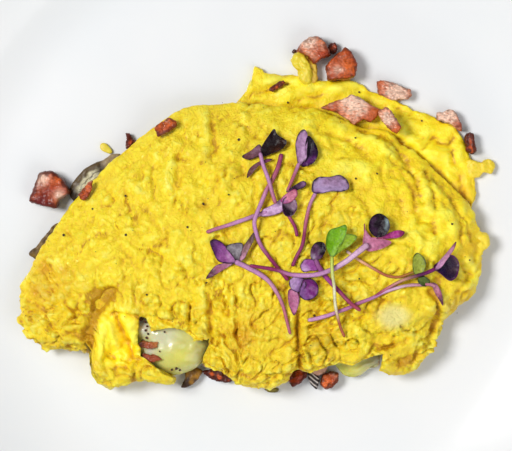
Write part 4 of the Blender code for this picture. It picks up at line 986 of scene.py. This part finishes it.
LILAC, ROSE, MAGENTA, PLUM = (190, 136, 182), (178, 98, 118), (140, 46, 94), (84, 30, 76)
NIGHT, MAUVE, GREY, BARK = (24, 8, 22), (142, 86, 134), (104, 86, 106), (92, 54, 44)
GREEN, OLIVE, PALE, RUST = (112, 164, 18), (104, 122, 26), (222, 218, 182), (178, 98, 72)
# For each sprout: stems as (route of x, y and extra lift; girth at both ends; colours along it), and leaves as
# (outline; lift; cup; colours from one side to the other; bearing of that way in degrees; rim colour).
# The colours across a leaf are partly its own purple or green and partly painted light: a painted highlight towards one
# side and painted shade towards the other.
SPROUTS = {
    "sprout_top_dark": ([
        ([(7.8, 8.6, 2.6), (6.4, 13, 2.6), (4.8, 18.6, 2.6), (3, 23.8, 1.1), (1.6, 28.8, 0.4)], (1.6, 1.7),
         [ROSE, LILAC, LILAC]),
    ], [
        ([(1.2, 28.2), (2.6, 32), (4.8, 35.4), (7.2, 38.4), (8.6, 36), (12.2, 33.4), (10.4, 30.4), (6, 28.4),
          (3.4, 27.4)], 1.0, 0.9, [(120, 92, 116), (34, 16, 26), (22, 8, 10), (48, 24, 16), (92, 50, 28)], 320, NIGHT),
        ([(-5.6, 27.4), (-2.2, 29.6), (1.4, 32.2), (2.4, 29), (0.6, 27.4), (-2.8, 26)], 0.8, 0.5,
         [(98, 54, 50), (128, 88, 108)], 60, NIGHT),
        ([(-3.6, 18.8), (-2.8, 22.2), (0.2, 24.8), (4.4, 26.4), (6.6, 26.2), (3.6, 24.6), (0.4, 23.2), (-1.4, 20.6)],
         0.9, -0.3, [BARK, (118, 60, 92)], 20, NIGHT),
    ]),
    "sprout_long_curve": ([
        ([(10.2, 28.4, 0), (8.8, 23.6, 0), (6.8, 18.8, 0), (4.2, 14.2, 0), (2.2, 9.6, 0.5), (0.6, 5.4, 2.6),
          (-0.6, 1.2, 2.3), (0.2, -3.6, 0.1), (2.2, -8.2, 0), (5.2, -12.4, 0), (8.6, -16.8, 0), (12.6, -21.6, 0)],
         (1.9, 1.6), [MAGENTA, ROSE, LILAC, LILAC, MAGENTA, MAGENTA]),
    ], [
        ([(17.8, -23.2), (19.4, -21), (22.4, -21.2), (24.6, -24), (24, -27.6), (20.6, -29.6), (17.4, -28)], 0.9, 0.9,
         [(148, 104, 168), (114, 40, 112), (88, 20, 88)], 45, NIGHT),
        ([(13, -23), (14.2, -20.6), (17, -19.8), (19.4, -21.6), (19.6, -24.4), (17.2, -26.4), (14.4, -25.6)], 1.7,
         -0.5, [(184, 150, 190), (156, 118, 168), (106, 62, 118)], 330, NIGHT),
        ([(13, -25.4), (15.6, -25), (17.2, -28.6), (16.4, -33), (15, -35.6), (13.2, -32), (12.6, -28.4)], 0.6, 0.4,
         [(160, 80, 116), (194, 120, 158)], 20, PLUM),
    ]),
    "sprout_top_pod": ([
        ([(12.2, 13.4, 0), (14.2, 17.8, 0), (15.8, 21.4, 0.1), (17.2, 25, 0.2)], (1.4, 1.6), [ROSE, ROSE, LILAC]),
    ], [
        ([(17, 23.6), (16, 27.6), (15.6, 32), (16.6, 36), (18.8, 38.2), (20.4, 36.2), (20.4, 31), (19.8, 26)], 1.6,
         0.7, [(128, 70, 118), (178, 138, 176), (142, 92, 142)], 10, NIGHT),
        ([(17.8, 23.6), (19.4, 27), (19.6, 32.6), (20.8, 35.6), (23.2, 33), (24.6, 28.8), (23, 25), (20, 23.4)], 1.0,
         1.3, [NIGHT, (20, 8, 26), (52, 20, 60), (112, 44, 122)], 280, NIGHT),
        ([(11.8, 13.2), (14.8, 15.6), (18.4, 17.6), (20, 16.6), (18.6, 14.8), (15, 13.6)], 0.7, 0.4,
         [MAUVE, NIGHT, (150, 104, 150)], 60, NIGHT),
    ]),
    "sprout_left_stem": ([
        ([(-19.6, -2.8, 0), (-13.6, -0.8, 0), (-6.4, 1.6, 0), (-0.6, 3.6, 0), (4.6, 5.4, 0)], (1.5, 1.9),
         [ROSE, LILAC, LILAC]),
    ], [
        ([(1.6, 3.6), (2.6, 6.2), (6.4, 8.2), (10.4, 10.6), (12, 9), (11.4, 6.4), (7.6, 4.2)], 0.7, 0.6,
         [(140, 80, 120), (206, 168, 206), (120, 60, 124)], 110, PLUM),
        ([(9.6, 10), (12, 12.6), (15.4, 14.4), (16.4, 12.2), (14.4, 9.6), (11.4, 8.6)], 1.2, 0.5,
         [(150, 72, 140), (202, 120, 146), ROSE], 40, MAGENTA),
    ]),
    "sprout_grey_leaf": ([
        ([(14.4, -16, 0), (16.4, -11.8, 0), (18.2, -8, 0), (19, -3.2, 0), (19.7, 1.6, 0), (21.2, 8, 0),
          (23.8, 13.6, 0.1)], (1.6, 1.5), [MAGENTA, MAGENTA, ROSE, LILAC]),
    ], [
        ([(22.2, 13.2), (22.4, 17.2), (24.8, 19.2), (29, 19.2), (33, 20), (36, 18), (36.8, 14.8), (34, 13.4),
          (29.6, 13.4), (25.6, 12.6)], 0.9, 0.8, [(146, 66, 138), (172, 146, 186), (150, 116, 150), (92, 56, 76)], 80,
         NIGHT),
    ]),
    "sprout_round_leaf": ([
        ([(16.3, -4.2, 0), (15.4, -0.6, 0), (13.6, 2.6, 0), (12.2, 5.2, 0)], (1.5, 1.3), [MAGENTA, MAGENTA, ROSE]),
    ], [
        ([(10.4, 6.4), (10.6, 10.2), (13, 11.6), (15.6, 10.2), (16.2, 6.8), (14.2, 3.8), (11.6, 3.8)], 0.8, 0.9,
         [NIGHT, (40, 20, 36), (132, 104, 122), (158, 122, 148)], 50, PLUM),
    ]),
    "sprout_left_fan": ([
        ([(13.6, -43, 0), (12.2, -37.4, 0), (10.4, -31.2, 0), (8.2, -26.4, 0), (5.2, -22.2, 0), (0.8, -18.7, 0),
          (-4, -16.2, 0), (-8.4, -14.4, 0)], (1.2, 2.3), [ROSE, ROSE, (198, 140, 170), LILAC, LILAC]),
    ], [
        ([(-18.2, -6.4), (-15.8, -5.4), (-12.6, -7.4), (-10.2, -10.6), (-8, -14.4), (-11.6, -15), (-15, -14),
          (-16.8, -10.6)], 1.0, 0.8, [(58, 20, 66), (116, 54, 124), (136, 72, 132), (176, 120, 170)], 325, NIGHT),
        ([(-19.8, -20.8), (-16.4, -16.2), (-12.6, -14.8), (-8.6, -14.8), (-12.6, -17.4), (-17.6, -20.4)], 0.6, 0.3,
         [NIGHT, (150, 84, 112), (194, 130, 162)], 45, NIGHT),
        ([(-12, -8.4), (-8.8, -7), (-5.2, -7.2), (-5.8, -11.6), (-7.4, -14.4), (-10, -11)], 0.7, 0.9,
         [(58, 40, 52), (142, 134, 140), (96, 84, 94)], 70, NIGHT),
        ([(-6.6, -13.6), (-5.2, -8.8), (-3, -5.4), (-0.8, -2.6), (-0.8, -5.4), (-3, -10), (-4.8, -13.4)], 1.2, 0.5,
         [(196, 136, 166), (136, 98, 98), (62, 34, 32)], 60, NIGHT),
    ]),
    "sprout_crossing": ([
        ([(-2.6, -15.8, 2.6), (3.4, -16.8, 2.6), (9, -17.8, 2.6), (13.6, -19.2, 2.6), (19, -19.8, 2.6),
          (24, -19.4, 2.6), (29.8, -17.3, 2.6), (35, -14.4, 2.6), (39.8, -11, 2.6), (44.2, -7.4, 1.1)], (1.4, 2.5),
         [MAGENTA, MAGENTA, LILAC, LILAC, (214, 176, 204), (206, 160, 190)]),
        ([(44, -6, 1), (43.2, -2.6, 0.8), (43, 0.6, 0.8)], (0.9, 0.5), [ROSE, MAGENTA]),
    ], [
        ([(43, -1.4), (44.2, -4.4), (48, -4.8), (53.4, -6.4), (50.6, -8.8), (44.6, -10.2), (42.2, -7.6)], 1.6, 0.5,
         [(206, 140, 176), (186, 108, 138), (160, 84, 118)], 0, ROSE),
        ([(44.4, -1.2), (45.4, 3), (48.6, 4.8), (51.8, 3), (52.8, -0.6), (51, -3.8), (47.2, -4.6)], 1.9, 1.0,
         [NIGHT, (62, 34, 62), NIGHT, NIGHT, (128, 148, 150)], 10, (16, 5, 16)),
        ([(47.4, -5.2), (51.8, -3.2), (56, -1.8), (58.8, -2.6), (57, -4.6), (52.6, -5.2)], 2.2, 0.3,
         [(160, 70, 100), MAGENTA, (168, 42, 128), MAGENTA], 20, (80, 20, 48)),
    ]),
    "sprout_dark_bud": ([
        ([(41.2, -33.6, 2.3), (37, -30.2, 2.5), (33, -26.2, 0.9), (29.8, -22.8, 0), (26.8, -19.2, 0), (24.6, -16, 0),
          (23.4, -13.2, 0)], (1.5, 2.2), [(170, 74, 90), MAGENTA, (166, 70, 150), MAUVE]),
    ], [
        ([(21.8, -13.2), (21.6, -9.6), (23.4, -6.8), (26.4, -6.6), (27.6, -9.2), (26.2, -12.4), (24, -13.8)], 1.0,
         0.8, [(200, 184, 204), (112, 70, 110), NIGHT, NIGHT], 35, NIGHT),
        ([(17.4, -16), (19, -13.4), (21.8, -13.2), (24.6, -14.4), (24.4, -17.6), (21, -18), (18.6, -18.4)], 0.7, 0.6,
         [(206, 166, 214), (160, 82, 160), (134, 52, 124)], 30, NIGHT),
    ]),
    "sprout_green": ([
        ([(35, -44.2, 0.1), (33.4, -39.8, 1.1), (31.9, -34.8, 2.6), (31, -29, 3.1), (30.6, -23.6, 4.1),
          (29.9, -17.2, 5.2), (30, -12, 3.9)], (1.1, 1.5), [RUST, RUST, PALE, PALE, (196, 206, 110), (176, 196, 70)]),
    ], [
        ([(30, -12.8), (27.8, -9), (27.6, -5), (29, -1.8), (32.4, -0.6), (35.4, 0.2), (35.4, -3.4), (32.8, -8.6)], 3.6,
         0.7, [(108, 172, 12), GREEN, (150, 184, 48)], 330, (84, 128, 20)),
        ([(30.4, -12.4), (32.6, -7.8), (35.2, -3.6), (38.6, -3.6), (39.8, -4.8), (37.4, -7.6), (33.6, -10)], 3.9, 0.5,
         [(150, 180, 44), (122, 150, 28)], 300, (92, 120, 24)),
    ]),
    "sprout_thin_right": ([
        ([(35.6, -10, 0), (40.6, -13.4, 0), (46.1, -17, 0), (51.6, -19.6, 0), (57, -20.2, 0), (61.6, -18.8, 0.1),
          (64.4, -17.6, 0.1)], (1.3, 1.1), [(236, 204, 200), (222, 168, 130), RUST, (170, 104, 60), (150, 120, 40)]),
    ], [
        ([(62.2, -12.2), (64, -10.8), (66.6, -13), (67.2, -16), (65.4, -19.8), (63, -19.8), (61.8, -16.6)], 0.9, 0.6,
         [(124, 144, 30), (158, 168, 66), (112, 128, 30)], 0, (66, 74, 22)),
        ([(64, -21), (66.4, -20), (69, -22), (67.4, -24), (64.8, -23.4)], 0.9, 0.3,
         [(28, 40, 18), (84, 104, 36), (30, 36, 22)], 60, (24, 30, 16)),
    ]),
    "sprout_right_dark": ([
        ([(20.4, -37.4, 0), (27.6, -35.8, 0), (35, -33.2, 0), (40, -31, 0), (46.1, -28.6, 0), (52, -26, 0),
          (57.2, -24.2, 0), (62, -23.6, 0.2), (68, -23.6, 0.4)], (1.7, 1.2),
         [(206, 150, 190), LILAC, (166, 84, 132), LILAC, (214, 176, 196), ROSE]),
        ([(46.1, -28.6, 0.4), (52, -24.8, 0.4), (57.2, -21.8, 0.4), (62, -20.4, 0.6), (66.6, -18.9, 0.8),
          (70.6, -17.2, 0.8)], (1.1, 1.6), [MAGENTA, ROSE, (190, 140, 120), PLUM, (120, 24, 96)]),
    ], [
        ([(70.2, -16.4), (74, -13.4), (77.6, -11.6), (80.6, -14.6), (80, -19.8), (77, -22), (73.4, -19.4)], 1.2, 0.9,
         [(112, 24, 96), (34, 12, 62), (28, 12, 44), (56, 36, 52), (104, 78, 80)], 350, PLUM),
        ([(70.4, -18), (72, -14.8), (75.4, -11), (79.4, -6.2), (78.4, -9.8), (75.6, -13.8), (73, -17)], 1.7, 0.3,
         [LILAC, (198, 140, 170), (120, 50, 70)], 50, PLUM),
    ]),
    "sprout_right_thin_leaf": ([
        ([(66.6, -23.4, 0.8), (69, -23.4, 0.5), (71, -24.2, 0.2)], (1.2, 1.6), [ROSE, (206, 150, 170)]),
    ], [
        ([(69.8, -22.8), (71.8, -23.4), (73.6, -26.8), (74.2, -31.8), (72.4, -29.2), (70.6, -26)], 0.6, 0.4,
         [(200, 140, 160), (160, 90, 116), (60, 20, 30)], 320, PLUM),
    ]),
}

# Highest egg over each square millimetre, for what lies on it.
TOP_CELL = 1.0
top_map = np.full((220, 150), WELL_TOP)
cells = ((spots[:, :2] - (-110, -75)) / TOP_CELL).astype(int)
np.maximum.at(top_map, (cells[:, 0], cells[:, 1]), spots[:, 2])
padded = np.pad(top_map, 1, mode="edge")
top_map = np.maximum.reduce([padded[i : i + 220, j : j + 150] for i in range(3) for j in range(3)])


def egg_top(x, y):
    """Height of what lies under points in plan: the four nearest cells of the map, blended by nearness."""
    px = np.clip((np.asarray(x) + 110) / TOP_CELL - 0.5, 0, 218)
    py = np.clip((np.asarray(y) + 75) / TOP_CELL - 0.5, 0, 148)
    i, j = px.astype(int), py.astype(int)
    fx, fy = px - i, py - j
    low = top_map[i, j] * (1 - fx) + top_map[i + 1, j] * fx
    high = top_map[i, j + 1] * (1 - fx) + top_map[i + 1, j + 1] * fx
    return low * (1 - fy) + high * fy


def eased(values, times):
    """Values along a line, each drawn towards its neighbours so many times."""
    for _ in range(times):
        values = np.convolve(np.pad(values, 1, mode="edge"), (0.25, 0.5, 0.25), mode="valid")
    return values


def along_colours(shades, share):
    """Colours at shares of the way along a list of colours."""
    stops = np.array([tint(*shade)[:3] for shade in shades])
    at = np.linspace(0, 1, len(stops))
    return np.column_stack([np.interp(share, at, stops[:, k]) for k in range(3)])


def stem(route, girths, shades, seed):
    """Rings of a limp round stem: circles square to its path, which lies eased over the egg and its own lifts;
    each ring has the stem's girth there, a little uneven."""
    count = max(16, int(3 * sum(math.dist(a[:2], b[:2]) for a, b in zip(route, route[1:])) / 2))
    path = curve_through(route, count)
    girth = np.interp(np.linspace(0, 1, count), (0, 1), girths) * (1 + 0.12 * grain(path * (1, 1, 0), 5, seed))
    path[:, 2] += eased(egg_top(path[:, 0], path[:, 1]), 14) + girth / 2 - 0.1
    path[:, 0] += 0.25 * grain(path, 9, seed + 1)
    path[:, 1] += 0.25 * grain(path, 9, seed + 2)
    way = np.gradient(path, axis=0)
    way /= np.linalg.norm(way, axis=1)[:, None]
    side = np.cross(way, (0, 0, 1))
    side /= np.linalg.norm(side, axis=1)[:, None]
    up = np.cross(side, way)
    turn = np.arange(12) / 12 * 2 * math.pi
    girth[[0, -1]] *= 0.6
    rings = path[:, None] + (np.cos(turn)[:, None] * side[:, None] + np.sin(turn)[:, None] * up[:, None]) * girth[:, None, None] / 2
    rings = np.concatenate([path[:1, None].repeat(12, axis=1), rings, path[-1:, None].repeat(12, axis=1)])
    points, faces = skin_over(rings)
    share = np.concatenate([[0], np.repeat(np.linspace(0, 1, count), 12), [1]])
    colours = along_colours(shades, share)
    return points, faces, colours * (1 + 0.12 * grain(points, 2.5, seed + 3)[:, None])


def seed_leaf(outline, lift, cup, shades, bearing, rim_shade, seed):
    """A thin closed leaf over a plan outline: two faces that meet at the rim, cupped by the square of the
    distance from the middle, crumpled by grain, and lying over the egg at its lift."""
    rim = curve_through(outline, 56, closed=True)
    middle = rim.mean(axis=0)
    spread = np.sin(np.linspace(0, math.pi / 2, 13))
    plan = middle + spread[:, None, None] * (rim - middle)
    under = egg_top(plan[..., 0], plan[..., 1])
    base = under.mean() * 0.5 + under * 0.5
    flat = np.concatenate([plan, np.zeros(plan.shape[:2] + (1,))], axis=-1)
    crumple = (0.7 * grain(flat, 3.2, seed) + 0.3 * grain(flat, 1.4, seed + 3)) * spread[:, None]
    short_way = np.linalg.svd(rim - middle, full_matrices=False)[2][1]
    off_midline = np.abs((plan - middle) @ short_way) / np.abs((rim - middle) @ short_way).max()
    height = base + lift + cup * (spread[:, None] ** 2 - 0.5) + 0.9 * abs(cup) * off_midline**1.3 + crumple
    thick = 0.34 * np.sqrt(1 - spread[:, None] ** 2 * 0.99)
    over = np.concatenate([plan, (height + thick)[..., None]], axis=-1)
    below = np.concatenate([plan, (height - thick)[..., None]], axis=-1)
    points, faces = skin_over(np.concatenate([over, below[-2::-1]]))
    away = points[:, :2] - middle
    reach = np.linalg.norm(rim - middle, axis=1).max()
    across = away @ (math.cos(math.radians(bearing)), math.sin(math.radians(bearing))) / reach
    # Colours from one side of the leaf to the other: its own colour with a painted highlight and painted shade across
    # it.
    colours = along_colours(shades, 0.5 + 0.5 * across + 0.2 * grain(points, 2.4, seed + 1))
    colours = colours * (1 + 0.3 * grain(points, 0.9, seed + 4)[:, None])
    edge = np.concatenate([[0], np.repeat(spread[1:], 56), np.repeat(spread[-2:0:-1], 56), [0]])
    colours = blend(colours, tint(*rim_shade), 0.95 * smooth_step(edge + 0.1 * grain(points, 1.5, seed + 2), 0.83, 0.97))
    return points, faces, colours


sprout_finish = painted_finish("radish_sprout", 0.26, 0.0007, 0.16, 0.00025, Specular_IOR_Level=0.22)
tree = sprout_finish.node_tree
shader = tree.nodes["Principled BSDF"]
skin = shader.inputs["Base Color"].links[0].from_socket
# Painted shade: where stems and leaves turn away from the camera, at their outlines, the colour is darkened.
turned_away = add_node(tree, "ShaderNodeLayerWeight", Blend=0.5).outputs["Facing"]
outline_shade_share = add_node(tree, "ShaderNodeMapRange", i0=turned_away, i1=0.25, i2=0.8)
tree.links.new(
    add_mix(tree, outline_shade_share.outputs[0], skin, add_mix(tree, 1.0, skin, (0.34, 0.24, 0.3, 1), "MULTIPLY")),
    shader.inputs["Base Color"],
)
for number, (node_name, (stems, leaves)) in enumerate(SPROUTS.items()):
    seed = 500 + 40 * number
    parts = [stem(*each, seed + 5 * k) for k, each in enumerate(stems)]
    parts += [seed_leaf(*each, seed + 20 + 5 * k) for k, each in enumerate(leaves)]
    starts = np.cumsum([0] + [len(part[0]) for part in parts])
    faces = [[start + corner for corner in face] for start, part in zip(starts, parts) for face in part[1]]
    slot_name = "sprout_green" if node_name in ("sprout_green", "sprout_thin_right") else "sprout"
    made = add_piece(node_name + "_fresh", np.vstack([part[0] for part in parts]), faces, sprout_finish, slot_name, [node_name])
    add_tints(made.data, np.vstack([part[2] for part in parts]))

# ---------------------------------------------------------------- pepper
# Coarse black pepper: angular grains of half a millimetre to a millimetre, dusted over the egg, most of them
# singly. One piece, half sunk in what they lie on.

PEPPER = [
    (-52, 11.8), (-10.8, 12.2), (-76.8, -3.8), (-51.6, -3.8), (-27.2, -0.6), (-19.6, -22.6), (-20.8, 8.6), (-65.2, 6.6),
    (-6.8, 34.2), (-43.2, -27.4), (41.6, 53.8), (55.2, 44.6), (66.8, 42.2), (12.8, 49.4), (48, 20.6), (39.6, 35),
    (39.6, 18.6), (78, 0.6), (85.2, -13.8), (40.8, -21), (23.2, -35.8), (60.4, 53.6),
]
grain_turn = np.arange(6) / 6 * 2 * math.pi
grain_levels = ((0, 1), (0.85, 0.6), (1, 0), (0.8, -0.6), (0, -1))
GRAIN_POINTS, GRAIN_FACES = skin_over(np.array([
    [(wide * math.cos(turn), wide * math.sin(turn), level) for turn in grain_turn] for wide, level in grain_levels
]))


def add_grains(name, places, radii, finish, slot, shade, seed):
    """Angular grains in one piece: each is a small six-sided ball whose corners stray in and out, at x, y and z."""
    rng = np.random.default_rng(seed)
    stray = rng.uniform(0.7, 1.25, (len(radii), len(GRAIN_POINTS), 1))
    points = GRAIN_POINTS * np.asarray(radii)[:, None, None] * stray + np.asarray(places)[:, None]
    starts = np.arange(len(radii)) * len(GRAIN_POINTS)
    faces = [[int(start) + corner for corner in face] for start in starts for face in GRAIN_FACES]
    made = add_piece(name, points.reshape(-1, 3), faces, finish, slot)
    add_tints(made.data, np.tile(tint(*shade), (len(made.data.vertices), 1)) * rng.uniform(0.6, 1.5, (len(radii) * len(GRAIN_POINTS), 1)))


pepper_rng = np.random.default_rng(5)
dust = np.column_stack([pepper_rng.uniform(-92, 88, 110), pepper_rng.uniform(-58, 56, 110)])
dust = dust[egg_top(dust[:, 0], dust[:, 1]) > 16]
places = np.vstack([np.array(PEPPER), dust])
places = np.column_stack([places, egg_top(*places.T) - 0.25])
radii = np.concatenate([pepper_rng.uniform(0.38, 0.6, len(PEPPER)), pepper_rng.uniform(0.10, 0.22, len(dust))])
pepper_finish = painted_finish("black_pepper", 0.6, 0.0006, 0.4, 0.0003)
add_grains("pepper", places, radii, pepper_finish, "egg", (70, 44, 18), 6)

# ---------------------------------------------------------------- scraps
# Small things in the tears and at the front: crisp brown crumbs on the cheese, and scraps of ham.


def cheese_level(x, y):
    """Highest cheese near a place in plan."""
    near = np.hypot(cheese_points[:, 0] - x, cheese_points[:, 1] - y) < 1.6
    return cheese_points[near, 2].max()


CRUMBS = [
    (-44.2, -38.4, 0.7), (-43.4, -40.2, 0.55), (-44, -41.8, 0.6), (-43, -43.2, 0.5), (-43.6, -44.8, 0.6), (-46, -37.4, 0.8),
    (-45.2, -36.8, 0.7), (-43.8, -37, 0.5), (-45.4, -45.8, 0.5), (-33.6, -57.6, 0.5), (-31.8, -57.2, 0.6), (-30.4, -57.8, 0.5),
    (-38.4, -50.2, 0.35), (-36.4, -42.4, 0.4),
]
places = np.array([(x, y, cheese_level(x, y) + 0.1) for x, y, radius in CRUMBS])
add_grains("crisp_crumbs", places, [radius for x, y, radius in CRUMBS], pepper_finish, "ham_seared", (62, 26, 12), 8)
add_lumps("ham_scraps", [
    ([(-21.6, -56), (-20.4, -54.4), (-18.4, -54.8), (-18.2, -56.4), (-20, -57.2)], 12.5, 14.6, (214, 170, 140)),
    ([(22.4, -58.2), (25, -56.6), (28.6, -56.8), (28, -59), (25.4, -60.4), (23, -60)], 11.4, 13.6, (206, 160, 140)),
    ([(14.4, 70), (15.4, 71.2), (16.6, 70.4), (15.6, 69.2)], 9.3, 11, (70, 30, 16)),
    ([(-64.4, -51), (-63, -50), (-62, -51.4), (-63.2, -52.4)], 9.3, 10.8, (150, 146, 84)),
    ([(53.6, -59.2), (55, -58.6), (56.4, -59.6), (55, -60.4)], 9.3, 10.4, (54, 40, 22)),
], ham_finish, "ham", rough=0.2, seed=141)
